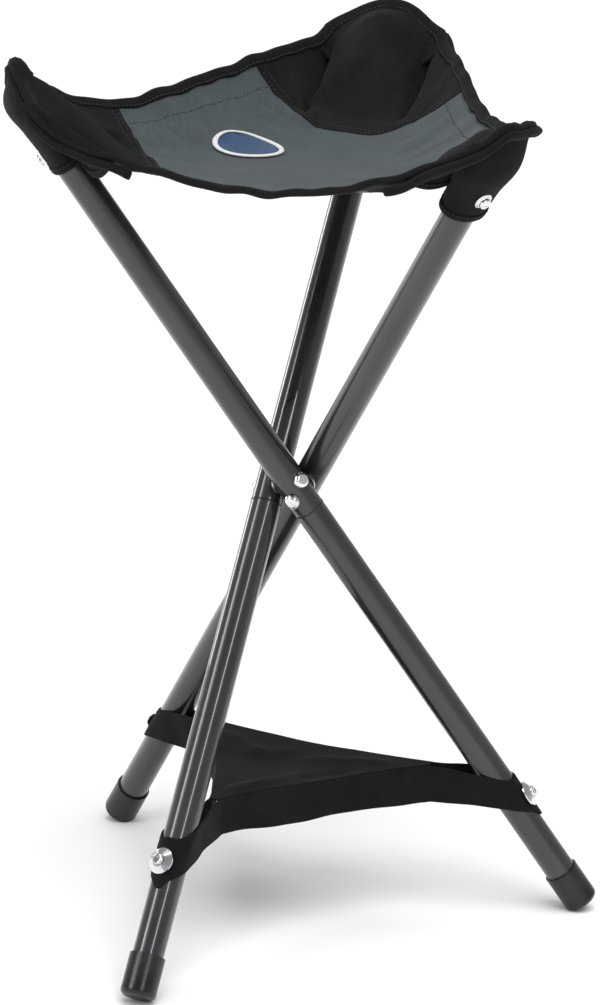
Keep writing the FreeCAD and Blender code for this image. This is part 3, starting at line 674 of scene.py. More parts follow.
def seam_chain(name):
    """A corner patch's inner seam in plan, between two points of the rim."""
    azimuth = LEGS[name].top_azimuth
    axis = plan(azimuth, 1.0)
    seam_out, skew = CORNERS[name][4:]
    beyond = RIM.points @ (axis + plan(azimuth - math.pi / 2, skew)) > seam_out
    ends = []
    for step in (-1, 1):
        i = RIM.tip_index[name]
        while beyond[i % len(RIM.points)]:
            i += step
        ends.append(RIM.points[i % len(RIM.points)] * FLAT)
    start, end = ends
    steps = int(np.linalg.norm(end - start) / SEAM_PITCH)
    return bowed(start, (start + end) / 2 - axis * SEAM_BOW, end, steps, last=1)


def make_seat_surface():
    """The whole sling's middle surface: its points and triangles, the piece that
    each triangle is in, and which points are the rim's."""
    chains = {name: seam_chain(name) for name in LEGS}
    middle = RIM.points[RIM.edge_index["b"]] * FLAT
    seam_a = chains["a"][len(chains["a"]) // 2]
    divide = straight(seam_a, middle, SEAM_PITCH)
    points, faces, order = fill_outline(RIM.points, [*chains.values(), divide], SEAT_PITCH)
    points[:, 2] = seat_height(points[:, 0], points[:, 1])
    rim_order = np.array(order[: len(RIM.points)])
    points[rim_order] = RIM.points
    pieces = []
    ahead = unit(middle - seam_a)
    for face in faces:
        centre = points[list(face)].mean(axis=0)
        from_divide = centre - seam_a
        left = ahead[0] * from_divide[1] - ahead[1] * from_divide[0] > 0
        piece = "panel_b" if left else "panel_c"
        for name, chain in chains.items():
            azimuth = LEGS[name].top_azimuth
            axis, side = plan(azimuth, 1.0), plan(azimuth, 0.0, 1.0)
            order = np.argsort(chain @ side)
            limit = np.interp(centre @ side, (chain @ side)[order], (chain @ axis)[order])
            if centre @ axis > limit:
                piece = f"corner_{name}"
        pieces.append(piece)
    return points, faces, pieces, rim_order


CLOTH_FRAMES = 24
CLOTH_LIMIT = 2.5 * MM
# The share of gravity that pulls the cloth down.
CLOTH_GRAVITY = 0.25
CLOTH_SETTINGS = {
    "quality": 6,
    "mass": 0.25,
    "tension_stiffness": 25,
    "compression_stiffness": 25,
    "shear_stiffness": 12,
    "bending_stiffness": 0.6,
    "vertex_group_mass": "pin",
    "shrink_min": -0.022,
}
# The share of the way out to the rim where the cloth begins to be held, and the
# run over which it becomes fully held.
PIN_FROM, PIN_RUN = 0.6, 0.3


def relax_cloth(points, faces, pinned):
    """Let the sling hang as slack cloth between its pinned points, no point
    moving further than CLOTH_LIMIT."""
    obj = make_mesh("cloth_trial", points, faces)
    group = obj.vertex_groups.new(name="pin")
    for i, weight in enumerate(pinned):
        group.add([i], float(weight), "REPLACE")
    cloth = obj.modifiers.new("cloth", "CLOTH")
    for setting, value in CLOTH_SETTINGS.items():
        setattr(cloth.settings, setting, value)
    cloth.settings.effector_weights.gravity = CLOTH_GRAVITY
    scene = bpy.context.scene
    cloth.point_cache.frame_start = 1
    cloth.point_cache.frame_end = CLOTH_FRAMES
    for step in range(1, CLOTH_FRAMES + 1):
        scene.frame_set(step)
    graph = bpy.context.evaluated_depsgraph_get()
    moved = obj.evaluated_get(graph).to_mesh()
    result = np.array([v.co for v in moved.vertices])
    mesh = obj.data
    bpy.data.objects.remove(obj)
    bpy.data.meshes.remove(mesh)
    scene.frame_set(1)
    shift = result - points
    size = np.linalg.norm(shift, axis=1)
    cap = CLOTH_LIMIT * np.tanh(size / CLOTH_LIMIT) / np.maximum(size, 1e-9)
    return points + shift * cap[:, None]


seat_points, seat_faces, seat_pieces, rim_order = make_seat_surface()
share = RIM.toward(seat_points[:, 0], seat_points[:, 1])[0]
held = ease((share - PIN_FROM) / PIN_RUN)
seat_points = relax_cloth(seat_points, seat_faces, held)
seat_normals = vertex_normals(seat_points, seat_faces)
seat_tree = BVHTree.FromPolygons([Vector(p) for p in seat_points], seat_faces)
SEAT_LEFT = plan(LEGS["a"].top_azimuth + math.pi / 2, 1.0)


def bend(obj):
    """Bake a piece's placement into its mesh."""
    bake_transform(obj)


def across_seat(obj):
    bend(obj)


def hold(obj, name):
    """A piece of corner A goes with leg A; any other piece has its placement baked into its
    mesh.
    """
    if name == "a":
        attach(obj, "leg_a")
    else:
        across_seat(obj)


def on_sling(points, lift):
    """Plan points set `lift` above the sling's middle surface, and its normals."""
    found, normals = [], []
    for p in points:
        hit = seat_tree.ray_cast(Vector((p[0], p[1], 1.0)), Vector((0, 0, -1)))
        found.append(hit[0] + hit[1] * lift)
        normals.append(hit[1])
    return np.array(found), np.array(normals)


PATCH_LIFT = 0.2 * MM


def seat_sheet(piece, thickness, lift=0.0):
    """One piece of the sling as a closed sheet."""
    faces = [f for f, p in zip(seat_faces, seat_pieces) if p == piece]
    return thick_sheet(f"seat_{piece}", seat_points, faces, seat_points[:, :2],
                       seat_normals, thickness, lift)


for name in ("b", "c"):
    panel = seat_sheet(f"panel_{name}", SEAT_CLOTH)
    dress(panel, GREY_CLOTH, ["seat_panel"])
    across_seat(panel)
for name in LEGS:
    patch = seat_sheet(f"corner_{name}", PATCH_CLOTH, PATCH_LIFT)
    dress(patch, BLACK_CLOTH, [f"seat_patch_{name}"])
    hold(patch, name)


# ---- stitches
STITCH_PITCH = 3.4 * MM
STITCH_LONG = 2.3 * MM
STITCH_R = 0.375 * MM
STITCH_SIDES = 5
STITCH_FLATNESS = 0.7
# How far along a stitch each of its rings is, and how full it is there.
STITCH_ALONG = (0.0, 0.2, 0.8, 1.0)
STITCH_FULL = (0.25, 1.0, 1.0, 0.25)


def stitches(name, path, ups):
    """Short raised threads along a path, one every STITCH_PITCH."""
    along = running(path)
    count = int(along[-1] / STITCH_PITCH)
    where = (np.arange(count) + 0.5) * along[-1] / count
    starts = at_distance(where - STITCH_LONG / 2, along, path)
    ends = at_distance(where + STITCH_LONG / 2, along, path)
    tops = at_distance(where, along, ups)
    turns = round_turns(STITCH_SIDES)
    ring = np.stack([np.cos(turns), STITCH_FLATNESS * np.sin(turns)], axis=1) * STITCH_R
    points, faces = [], []
    for start, end, up in zip(starts, ends, tops):
        line = start + np.outer(STITCH_ALONG, end - start)
        side = unit(np.cross(up, end - start))
        up = np.cross(unit(end - start), side)
        thread, sides = swept(line, [side] * len(line), [up] * len(line), ring,
                              sizes=STITCH_FULL)
        faces += [tuple(i + len(points) for i in face) for face in sides]
        points += list(thread)
    points = np.array(points)
    return dress(make_mesh(name, points, faces, points[:, :2]), DARK_THREAD)


# ---- binding tape
# Tape, stitch and trim profiles are (out, up) points in millimetres.
TAPE_PROFILE = mirrored([(-7.4, 0.9), (-7.3, 2.1), (-5.6, 2.2), (-3.0, 2.7), (-0.6, 2.6),
                         (1.1, 1.7), (1.8, 0.0)])
# The tape is a little uneven all round: by how much, and over what length.
TAPE_UNEVEN, TAPE_WAVE = 0.06, 23 * MM
# It doubles over itself at the tips, mostly at A and C.
TAPE_SWELL = {"a": 1.2, "b": 0.15, "c": 0.5}
TAPE_SWELL_HALF = 10 * MM
TAPE_STITCH_IN = 5.9 * MM
TAPE_STITCH_UP = 2.35 * MM
# Each tape's first and last rim point, counted on past the rim's first point, and
# the nodes that it stands for.
TAPES = {
    "b": (RIM.tip_index["a"], RIM.edge_index["b"], ["seat_binding_left"]),
    "c": (RIM.edge_index["b"], RIM.tip_index["a"] + len(RIM.points),
          ["seat_binding_right", "seat_binding_front"]),
}

rim_points = seat_points[rim_order]
rim_normals = seat_normals[rim_order]
for _ in range(3):
    rim_normals = each_unit(evened(rim_normals, 1))
rim_ahead = np.roll(rim_points, -1, axis=0) - np.roll(rim_points, 1, axis=0)
rim_out = each_unit(np.cross(rim_normals, rim_ahead))

tape_sizes = 1 + TAPE_UNEVEN * np.sin(RIM.along * 2 * math.pi / TAPE_WAVE)
for name, swell in TAPE_SWELL.items():
    from_tip = np.abs(RIM.along - RIM.along[RIM.tip_index[name]])
    from_tip = np.minimum(from_tip, RIM.length - from_tip)
    tape_sizes = tape_sizes + swell * hump(from_tip, 0, TAPE_SWELL_HALF)

for name, (start, end, stood_for) in TAPES.items():
    run = np.arange(start, end + 1) % len(RIM.points)
    points, outs, ups = rim_points[run], rim_out[run], rim_normals[run]
    tape = sweep(f"seat_binding_{name}", points, outs, ups, TAPE_PROFILE,
                 sizes=tape_sizes[run])
    dress(tape, TAPE_CLOTH, stood_for)
    across_seat(tape)
    for side, label in ((1, "upper"), (-1, "lower")):
        path = points - outs * TAPE_STITCH_IN + ups * (TAPE_STITCH_UP * side)
        row = stitches(f"binding_stitch_{name}_{label}", path, ups * side)
        across_seat(row)


# ---- outer pockets
POCKET_CLOTH = 1.5 * MM
POCKET_ROWS = 28
POCKET_COLUMNS = 90
# The share of a pocket's half width that goes round the tube, and the share
# that keeps its sleeve's height.
WRAP_SHARE = 0.52
SLEEVE_SHARE = 0.44
# Each pocket: height up the tube of its mouth and of its side flaps' lower
# edge, how far along the rim its flaps are sewn, its outward reach and half
# width where it bags out below the rim, and how far its flaps' edges sag.
POCKETS = {
    "a": (286 * MM, 290 * MM, 92 * MM, 14 * MM, 30 * MM, 14 * MM),
    "b": (280 * MM, 300 * MM, 60 * MM, 10 * MM, 30 * MM, 2 * MM),
    "c": (279 * MM, 296 * MM, 74 * MM, 3 * MM, 24 * MM, 5 * MM),
}
# Half width and outward reach of the cloth at the tube's top, its screw and the
# mouth, and how many degrees round the tube it goes each way.
POCKET_BAG_UP = 344 * MM
POCKET_BAG_TURN = 104
POCKET_TOP_UP = 322 * MM
POCKET_TOP = (27 * MM, 13.5 * MM, 110)
POCKET_SCREW_UP = 300 * MM
POCKET_SCREW = (20 * MM, 12.2 * MM, 138)
POCKET_END = (17 * MM, 12 * MM, 148)
# Where the rows lie, as shares of the way from the rim to the mouth.
POCKET_KNOTS = np.array([0.0, 0.28, 0.54, 0.8, 1.0])
# Where the pocket's top edge is sewn, below and inside the rim.
SEWN_DOWN, SEWN_IN = 2.2 * MM, 1.0 * MM

HEM_PROFILE = mirrored([(-5.0, 0.6), (-4.8, 1.5), (-2.0, 1.8), (0.0, 1.6), (1.2, 0.9),
                        (1.5, 0.0)])
HEM_STITCH_UP, HEM_STITCH_OUT = 3.6 * MM, 1.7 * MM
# Columns of the pocket that its hem leaves out at each end.
HEM_INSET = 2
# The strip that covers the sewn edge, thick where its ends are rolled.
STRIP_PROFILE = np.array([
    (-4.5, 0.0), (-4.1, 2.0), (-1.5, 2.9), (1.5, 2.9), (3.1, 2.0), (3.5, 0.0),
    (3.1, -2.0), (1.5, -2.9), (-1.5, -2.9), (-4.1, -2.0),
]) * MM
STRIP_DOWN, STRIP_IN = 5.2 * MM, 1.5 * MM
# Rim steps that the strip goes on beyond the pocket, and how its ends hang.
STRIP_OVER = 4
STRIP_HANG = 2.5 * MM
HANG_BEFORE, HANG_RUN = 8, 12


def wrap_row(leg, low, high, shape, sag, us, ends):
    """Cloth round the outside of the tube, its sides running on to the rim."""
    half, reach, degrees = shape
    points = []
    for u in us:
        size = abs(u)
        rise = ease((size - SLEEVE_SHARE) / (WRAP_SHARE - SLEEVE_SHARE))
        bent = min(size / WRAP_SHARE, 1) * math.radians(degrees) * np.sign(u)
        on_tube = (leg.point(low + (high - low) * rise)
                   - leg.away * (half * math.sin(bent))
                   - leg.across * (reach * math.cos(bent)))
        rest = max(0.0, (size - WRAP_SHARE) / (1 - WRAP_SHARE))
        end = ends[0] if u < 0 else ends[1]
        droop = UP * (sag * math.sin(math.pi * rest))
        points.append(on_tube * (1 - rest) + end * rest - droop)
    return np.array(points)


def hold_pocket(obj, name):
    """A pocket's piece goes with its leg, with a mesh of its own."""
    leg = LEGS[name]
    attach(obj, f"leg_{name}")
    tuple(leg.point(TUBE_TOP))
    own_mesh(obj)


def make_pocket(name):
    """A corner's outer pocket with its mouth's hem, and the strip along its top."""
    leg = LEGS[name]
    mouth, flap, run, bag, bag_half, sag = POCKETS[name]
    tip = RIM.tip_index[name]
    count = len(RIM.points)
    us = np.linspace(-1, 1, POCKET_COLUMNS)
    far = 0
    while (RIM.along[(tip + far) % count] - RIM.along[tip]) % RIM.length < run:
        far += 1
    lower = rim_points - rim_normals * SEWN_DOWN - rim_out * SEWN_IN
    whole = np.floor(us * far).astype(int)
    share = (us * far - whole)[:, None]
    top_row = (lower[(tip + whole) % count] * (1 - share)
               + lower[(tip + whole + 1) % count] * share)
    ends = (top_row[0], top_row[-1])
    wraps = [
        (POCKET_BAG_UP, POCKET_BAG_UP, (bag_half, bag, POCKET_BAG_TURN), 0.0),
        (POCKET_TOP_UP, POCKET_TOP_UP, POCKET_TOP, 0.0),
        (POCKET_SCREW_UP, (flap + POCKET_TOP_UP) / 2, POCKET_SCREW, sag / 2),
        (mouth, flap, POCKET_END, sag),
    ]
    rows = [top_row] + [wrap_row(leg, *wrap, us, ends) for wrap in wraps]
    grid = smooth_curve(POCKET_KNOTS, np.array(rows), np.linspace(0, 1, POCKET_ROWS))
    points = grid.reshape(-1, 3)
    faces = grid_faces(POCKET_ROWS, POCKET_COLUMNS)
    normals = vertex_normals(points, faces)
    pocket = thick_sheet(f"corner_pocket_{name}", points, faces, grid_uvs(grid),
                         normals, POCKET_CLOTH)
    dress(pocket, BLACK_CLOTH, [f"leg_{name}_seat_pocket"])
    hold_pocket(pocket, name)
    keep = slice(HEM_INSET, -HEM_INSET)
    mouth_line = grid[-1][keep]
    outs = normals.reshape(grid.shape)[-1][keep]
    down = each_unit((grid[-1] - grid[-2])[keep])
    hem = sweep(f"pocket_hem_{name}", mouth_line, down, outs, HEM_PROFILE)
    dress(hem, TAPE_CLOTH)
    hold_pocket(hem, name)
    path = mouth_line - down * HEM_STITCH_UP + outs * HEM_STITCH_OUT
    hold_pocket(stitches(f"pocket_stitch_{name}", path, outs), name)
    steps = np.arange(-far - STRIP_OVER, far + STRIP_OVER + 1)
    run = (tip + steps) % count
    hang = STRIP_HANG * ease((np.abs(steps) - far + HANG_BEFORE) / HANG_RUN)
    path = (rim_points[run] - rim_normals[run] * STRIP_DOWN - rim_out[run] * STRIP_IN
            - UP * hang[:, None])
    strip = sweep(f"pocket_strip_{name}", path, rim_out[run], rim_normals[run],
                  STRIP_PROFILE)
    dress(strip, TAPE_CLOTH)
    hold_pocket(strip, name)


for name in LEGS:
    make_pocket(name)


# ---- seams and badge
SEAM_ROWS = (2.6 * MM, 7.4 * MM)
SEAM_STITCH_UP = 0.3 * MM
HEM_WIDE = 17 * MM
HEM_PITCH = 4 * MM
HEM_ROW_UP = 0.15 * MM
# Rim steps left out at each end of an edge's hem, and points at a seam's ends.
HEM_STOP, SEAM_STOP = 4, 3

for name in LEGS:
    axis = plan(LEGS[name].top_azimuth, 1.0)
    chain = seam_chain(name)[SEAM_STOP:-SEAM_STOP]
    for number, offset in enumerate(SEAM_ROWS, start=1):
        line = chain + axis * offset
        path, normals = on_sling(line, PATCH_CLOTH / 2 + SEAM_STITCH_UP)
        hold(stitches(f"seam_stitch_{name}_{number}", path, normals), name)


def hem_line(name):
    """Even points on the stitch line inside one rim edge, in the grey cloth."""
    middle = RIM.edge_index[name]
    reach = EDGE_STEPS // 2 - HEM_STOP
    path = []
    for i in range(middle - reach, middle + reach + 1):
        i %= len(RIM.points)
        point = (rim_points[i] - unit(rim_out[i] * FLAT) * HEM_WIDE) * FLAT
        nearest = seat_tree.find_nearest(Vector((*point[:2], SEAT_LOW)))[2]
        if seat_pieces[nearest].startswith("panel"):
            path.append(point)
    along = running(np.array(path))
    count = round(along[-1] / HEM_PITCH) + 1
    return at_distance(np.linspace(0, along[-1], count), along, np.array(path))


for name in EDGES:
    path = hem_line(name)
    of_c = path @ SEAT_LEFT >= 0
    for body, part in (("b", path[~of_c]), ("c", path[of_c])):
        if len(part):
            part, normals = on_sling(part, SEAT_CLOTH / 2 + HEM_ROW_UP)
            across_seat(stitches(f"hem_stitch_{name}_{body}", part, normals))

BADGE_HALF = (26 * MM, 21 * MM)
BADGE_AWAY = 56 * MM
BADGE_RING = 64
BADGE_PITCH = 3 * MM
BADGE_THICK = 1.2 * MM
BADGE_UP, BORDER_UP = 0.7 * MM, 1.2 * MM
# The border's middle, as a share of the badge's half sizes.
BORDER_AT = 0.93
BORDER_PROFILE = np.array([
    (-2.0, 0.0), (-1.7, 0.7), (-0.8, 1.15), (0.8, 1.15), (1.7, 0.7), (2.0, 0.0),
    (1.6, -0.5), (-1.6, -0.5),
]) * MM


def make_badge():
    """A plain oval badge with a satin-stitched border."""
    centre = plan(LEGS["b"].top_azimuth + math.pi / 3, BADGE_AWAY)
    turns = round_turns(BADGE_RING)
    oval = np.stack([np.cos(turns) * BADGE_HALF[0], np.sin(turns) * BADGE_HALF[1],
                     np.zeros(BADGE_RING)], axis=1)
    outline = centre + oval * BORDER_AT
    points, faces, _ = fill_outline(outline, [], BADGE_PITCH)
    points = on_sling(points, SEAT_CLOTH / 2 + BADGE_UP)[0]
    badge = thick_sheet("seat_badge_patch", points, faces, points[:, :2],
                        vertex_normals(points, faces), BADGE_THICK)
    dress(badge, BADGE_CLOTH, ["seat_badge"])
    across_seat(badge)
    path, ups = (evened(v, 6) for v in on_sling(outline, SEAT_CLOTH / 2 + BORDER_UP))
    border = sweep("seat_badge_border", path, each_unit(oval), ups, BORDER_PROFILE,
                   closed=True)
    dress(border, BADGE_THREAD)
    across_seat(border)


make_badge()


# ---- tube joints
JOINT_DOWN = 19 * MM
JOINT_SIDES = 64
JOINT_PROFILE = np.array([(-0.4, -0.8), (0.2, -0.6), (0.2, 0.6), (-0.4, 0.8)]) * MM


def make_joint_line(name):
    """The dark line where a leg's lower tube meets its upper one."""
    leg = LEGS[name]
    turns = round_turns(JOINT_SIDES)
    outs = np.outer(np.cos(turns), leg.away) + np.outer(np.sin(turns), leg.across)
    path = leg.point(-JOINT_DOWN) + outs * TUBE_R
    ups = np.tile(leg.along, (JOINT_SIDES, 1))
    line = sweep(f"leg_{name}_joint_line", path, outs, ups, JOINT_PROFILE, closed=True)
    dress(line, RUBBER)
    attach(line, f"leg_{name}")


for name in LEGS:
    make_joint_line(name)


# ---- spreader
WEB_PITCH = 4 * MM
SIDE_STEPS = 48
# The web sags at its middle and rises toward leg B.
WEB_SAG, WEB_SAG_R = 3.5 * MM, 58 * MM
WEB_RISE_B = 3 * MM
# Folds in the web, as in SEAT_FOLDS.
WEB_FOLDS = [
    ((-60, -78), (20, -20), 6, 2.6),
    ((-45, 80), (-5, 5), 7, 2.4),
    ((-62, -60), (-48, 40), 6, -2.2),
    ((85, -12), (5, 12), 6, 2.2),
    ((60, -18), (-20, -42), 5, -1.8),
    ((20, 30), (-35, 20), 7, 1.6),
]


def web_side(first, second):
    """One side of the web in plan, from leg to leg."""
    start = plan(LEGS[first].foot_azimuth, WEB_REACH, WEB_CORNER_HALF)
    end = plan(LEGS[second].foot_azimuth, WEB_REACH, -WEB_CORNER_HALF)
    middle = (start + end) / 2
    return bowed(start, middle - unit(middle) * WEB_BOW, end, SIDE_STEPS, last=1)


def web_height(points):
    x, y = points[:, 0], points[:, 1]
    height = np.full(len(points), WEB_HIGH)
    for start, end, width, high in WEB_FOLDS:
        height = height + fold(x, y, start, end, width, high)
    sag = np.clip(1 - np.hypot(x, y) / WEB_SAG_R, 0, 1)
    toward_b = points @ plan(LEGS["b"].foot_azimuth, 1.0) / WEB_REACH
    return height - WEB_SAG * sag + WEB_RISE_B * ease(toward_b)


WEB_LEFT = plan(LEGS["a"].foot_azimuth + math.pi / 2, 1.0)


def across_web(obj):
    bend(obj)


def make_web():
    """The web's two halves, parted along the line from leg A to the far side."""
    outline = []
    for first, second in (("a", "c"), ("c", "b"), ("b", "a")):
        outline += list(web_side(first, second))
        outline.append(plan(LEGS[second].foot_azimuth, WEB_REACH))
    corner = plan(LEGS["a"].foot_azimuth, WEB_REACH)
    middle = web_side("c", "b")[SIDE_STEPS // 2]
    divide = straight(corner, middle, WEB_PITCH)
    points, faces, _ = fill_outline(np.array(outline), [divide], WEB_PITCH)
    points[:, 2] = web_height(points)
    normals = vertex_normals(points, faces)
    for name, sign in (("c", 1), ("b", -1)):
        half = [f for f in faces if sign * (points[list(f)].mean(axis=0) @ WEB_LEFT) > 0]
        web = thick_sheet(f"spreader_web_{name}", points, half, points[:, :2], normals,
                          WEB_CLOTH)
        dress(web, BLACK_CLOTH, ["spreader_web"])
        across_web(web)


SKIRT_ROWS = 9
# How far a band's lower edge stands out, and how far its top edge laps the web.
SKIRT_OUT = 1.2 * MM
SKIRT_LAP = 0.6 * MM
# Ripples across a band, as (waves in RIPPLE_RUN, start, height), and the waviness
# of its lower edge as a share of its height.
RIPPLE_RUN = 190 * MM
RIPPLES = ((2.3, 0.7, 1.3 * MM), (5.1, 0.0, 0.5 * MM))
EDGE_WAVE = (1.7, 2.0, 0.035)
# A band lies still at its ends: how much of the ripples is left there, and the
# run over which they come to their full height.
STILL_SHARE, STILL_RUN = 0.1, 12 * MM


def make_skirt(label, path, node, ripple_from):
    """A band hanging from one side of the web, with soft ripples."""
    ahead = each_unit(np.gradient(path, axis=0))
    outward = np.stack([ahead[:, 1], -ahead[:, 0], np.zeros(len(path))], axis=1)
    along = running(path) + ripple_from
    from_end = np.minimum(along - ripple_from, along[-1] - along)

    def wave(waves, start, high):
        return np.sin(along * (2 * math.pi / RIPPLE_RUN * waves) + start) * high

    out = SKIRT_OUT + sum(wave(*ripple) for ripple in RIPPLES)
    out = out * np.minimum(1, from_end / STILL_RUN + STILL_SHARE)
    top = web_height(path) - WEB_CLOTH / 2 + SKIRT_LAP
    drop = SKIRT_HIGH * (1 + wave(*EDGE_WAVE))
    grid = []
    for v in np.linspace(0, 1, SKIRT_ROWS):
        row = path + outward * (out * v)[:, None]
        row[:, 2] = top - drop * v
        grid.append(row)
    skirt = grid_sheet(f"spreader_band_{label}", grid, WEB_CLOTH)
    dress(skirt, BLACK_CLOTH, [node])
    across_web(skirt)


def make_skirts():
    """The bands; the one between legs C and B is in two halves, as the web is."""
    side_cb = web_side("c", "b")
    half = SIDE_STEPS // 2
    make_skirt("ac", web_side("a", "c"), "spreader_skirt_ac", 0.0)
    make_skirt("c", side_cb[: half + 1], "spreader_skirt_cb", 0.0)
    make_skirt("b", side_cb[half:], "spreader_skirt_cb", 90 * MM)
    make_skirt("ba", web_side("b", "a"), "spreader_skirt_ba", 40 * MM)


TIE_CLOTH = 1.4 * MM
# Rows across a tie, and points along its free runs and round the tube.
TIE_ROWS = 11
TIE_RUN = 14
TIE_ROUND = 44
TIE_R = TUBE_R + 0.9 * MM
TIE_SLANT = 1.4 * math.tan(LEAN) * TIE_R
TIE_LIFT = 12.5 * MM
# Where the runs meet inside the web's corner, how far they part from each other
# on the way to the tube, and how much they crumple.
TIE_PINCH = 4 * MM
TIE_OPEN, TIE_APART = 3.6 * MM, 0.5 * MM
TIE_CRUMPLE = 3.2 * MM
# How far a tie waves in and out; its rows wave differently.
TIE_WAVE = 0.25 * MM
# Where the fold's corners hang at the screw: angle from it, half width in
# radians, and how far down and up they go.
SCREW_TWIST = math.radians(76)
TAIL_AT, TAIL_HALF = 0.1, 0.38
TAIL_DOWN, TAIL_UP = 5 * MM, 2 * MM


def make_tie(name):
    """The strap from a web corner, round the tube and back, as one band."""
    leg = LEGS[name]
    toward_screw = leg.away * math.cos(SCREW_TWIST) + leg.across * math.sin(SCREW_TWIST)
    grid = []
    for k in range(TIE_ROWS):
        t = k / (TIE_ROWS - 1)
        centre = leg.point(SPREAD_SCREW + TIE_LIFT + LOOP_WIDE * (0.5 - t))
        pinch = plan(leg.foot_azimuth, WEB_REACH - TIE_PINCH)
        pinch[2] = web_height(pinch[None])[0] - SKIRT_HIGH * t
        inward = pinch - centre
        inward = inward - leg.along * np.dot(inward, leg.along)
        touch = math.acos(TIE_R / np.linalg.norm(inward))
        inward = unit(inward)
        side = np.cross(leg.along, inward)
        screw_at = math.atan2(np.dot(toward_screw, side), np.dot(toward_screw, inward))

        def on_tube(turn, radius, down=0.0):
            around = inward * math.cos(turn) + side * math.sin(turn)
            return centre + around * radius + leg.along * (TIE_SLANT * math.cos(turn) - down)

        def free_run(sign):
            tangent = on_tube(sign * touch, TIE_R)
            run = []
            for x in np.arange(TIE_RUN) / TIE_RUN:
                apart = sign * (1 - x) * ((1 - x) ** 2 * TIE_OPEN + TIE_APART)
                crumple = TIE_CRUMPLE * x * (1 - x) * math.sin(9 * x + 5 * t + sign)
                run.append(pinch + (tangent - pinch) * x + side * (apart + crumple))
            return run

        row = free_run(1)
        for turn in np.linspace(touch, 2 * math.pi - touch, TIE_ROUND):
            gap = (turn - screw_at + math.pi) % (2 * math.pi) - math.pi
            tail = hump(gap, TAIL_AT, TAIL_HALF) * (t**3 * TAIL_DOWN - (1 - t) ** 3 * TAIL_UP)
            radius = TIE_R + TIE_WAVE * math.sin(3 * turn + 4 * t)
            row.append(on_tube(turn, radius, tail))
        grid.append(row + free_run(-1)[::-1])
    tie = grid_sheet(f"spreader_tie_{name}", grid, TIE_CLOTH)
    dress(tie, BLACK_CLOTH,
          [f"leg_{name}_spreader_loop", f"spreader_strap_{name}"])
    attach(tie, f"leg_{name}")


make_web()
make_skirts()
for name in LEGS:
    make_tie(name)


# ---- camera
CAMERA_PLACE = Vector((-0.4905, -3.5332, 1.3404))
CAMERA_AHEAD = Vector((0.1337, 0.9511, -0.2786)).normalized()
CAMERA_ROLL = -0.029
CAMERA_LENS, CAMERA_SENSOR = 187.75, 36


def place_object(name, data, place, across, back):
    """A camera or light at a place, its x axis and z axis along two directions."""
    obj = bpy.data.objects.new(name, data)
    turned = Matrix((across, back.cross(across), back)).transposed().to_4x4()
    obj.matrix_world = Matrix.Translation(place) @ turned
    bpy.context.scene.collection.objects.link(obj)
    return obj


camera_data = bpy.data.cameras.new("camera")
camera_data.sensor_width = CAMERA_SENSOR
camera_data.lens = CAMERA_LENS
camera_data.clip_end = 50
camera_right = CAMERA_AHEAD.cross(Vector((0, 0, 1))).normalized()
tilted = (camera_right * math.cos(CAMERA_ROLL)
          - camera_right.cross(CAMERA_AHEAD) * math.sin(CAMERA_ROLL))
bpy.context.scene.camera = place_object("camera", camera_data, CAMERA_PLACE, tilted,
                                        -CAMERA_AHEAD)

# ---- floor and lights
floor = make_mesh("floor", np.array([(-9, -9, 0), (9, -9, 0), (9, 9, 0), (-9, 9, 0)]),
                  [(0, 1, 2, 3)])
pale = Shader("pale_floor", Roughness=0.9)
pale.colour(pale.ramp(pale.noise(pale.coordinates("Object"), 3.0),
                      (0.87, 0.87, 0.87), (0.9, 0.9, 0.9)))
floor.data.materials.append(pale.material)

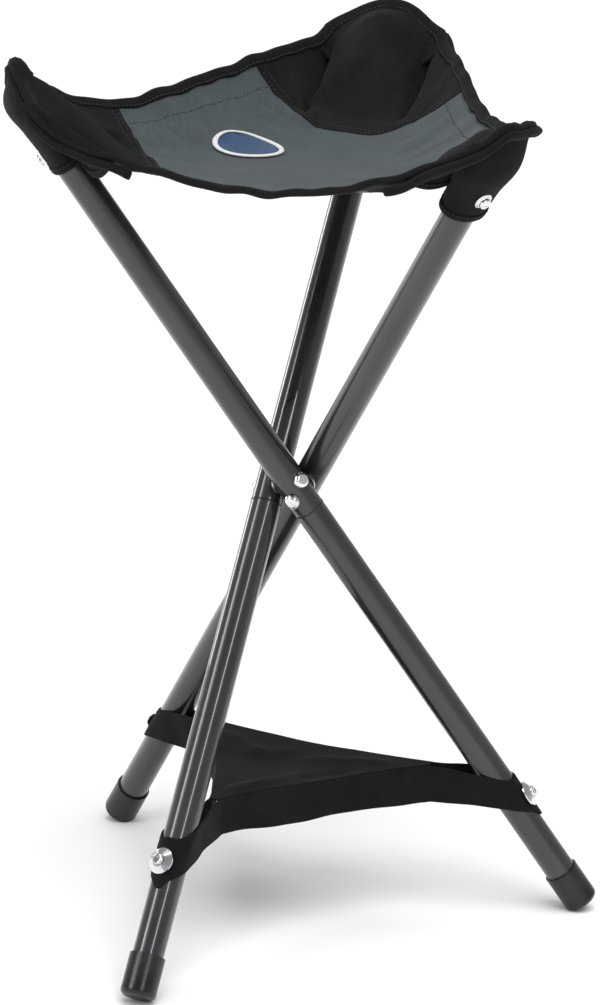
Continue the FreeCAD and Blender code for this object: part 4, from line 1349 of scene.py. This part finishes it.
# The world is white to the camera, and lights the stool with a soft white that is
# dimmer from high up.
WORLD_FADE = {"From Min": 0.05, "From Max": 0.55, "To Min": 0.6, "To Max": 0.38}
world = bpy.data.worlds.new("studio")
world.use_nodes = True
soft = world.node_tree.nodes["Background"]
facing, height_of, fade, seen, mix, rays = (
    world.node_tree.nodes.new(f"ShaderNode{kind}")
    for kind in ("TexCoord", "SeparateXYZ", "MapRange", "Background", "MixShader", "LightPath")
)
for background in (soft, seen):
    background.inputs["Color"].default_value = (1.0, 1.0, 1.0, 1.0)
for socket, value in WORLD_FADE.items():
    fade.inputs[socket].default_value = value
for output, socket in (
    (facing.outputs["Generated"], height_of.inputs[0]),
    (height_of.outputs["Z"], fade.inputs["Value"]),
    (fade.outputs[0], soft.inputs["Strength"]),
    (rays.outputs["Is Camera Ray"], mix.inputs[0]),
    (soft.outputs[0], mix.inputs[1]),
    (seen.outputs[0], mix.inputs[2]),
    (mix.outputs[0], world.node_tree.nodes["World Output"].inputs[0]),
):
    world.node_tree.links.new(output, socket)
bpy.context.scene.world = world
bpy.context.scene.view_settings.view_transform = "Standard"

# How far the strip lights are from the tube that mirrors them, in metres.
STRIP_AWAY = 2.6


def area_light(name, place, aim, size, power, upright=(0, 0, 1)):
    """A rectangle of light, its long side nearest to the upright direction."""
    data = bpy.data.lights.new(name, "AREA")
    data.shape = "RECTANGLE"
    data.size, data.size_y = size
    data.energy = power
    back = (Vector(place) - Vector(aim)).normalized()
    return place_object(name, data, place, Vector(upright).cross(back).normalized(), back)


def strip_light(name, height, side, size, power):
    """A long strip that the camera sees mirrored along leg B, `side` tube radii to
    the right of its middle; it lights no cloth."""
    spot = Vector(LEGS["b"].point(height))
    along = Vector(LEGS["b"].along)
    view = (CAMERA_PLACE - spot).normalized()
    front = (view - along * view.dot(along)).normalized()
    normal = along.cross(front) * side + front * math.sqrt(1 - side**2)
    toward = normal * (2 * normal.dot(view)) - view
    light = area_light(name, spot + toward * STRIP_AWAY, spot, size, power, along)
    light.visible_diffuse = False


area_light("softbox_left", (-2.6, -1.2, 1.6), (0, 0, 0.35), (0.8, 2.4), 22)
strip_light("strip_b_left", -250 * MM, -0.5, (0.3, 2.2), 22)
strip_light("strip_b_middle", -250 * MM, 0.14, (0.24, 2.2), 18)
strip_light("strip_b_edge", 160 * MM, -0.88, (0.4, 1.0), 14)
area_light("top", (0.2, 0.4, 3.0), (0, 0, 0.4), (2.2, 2.2), 26)

sun = bpy.data.lights.new("sun", "SUN")
sun.energy = 2.6
sun.angle = math.radians(50)
sun_object = bpy.data.objects.new("sun", sun)
sun_object.rotation_euler = (math.radians(28), math.radians(6), 0)
sun_object.visible_glossy = False
bpy.context.scene.collection.objects.link(sun_object)
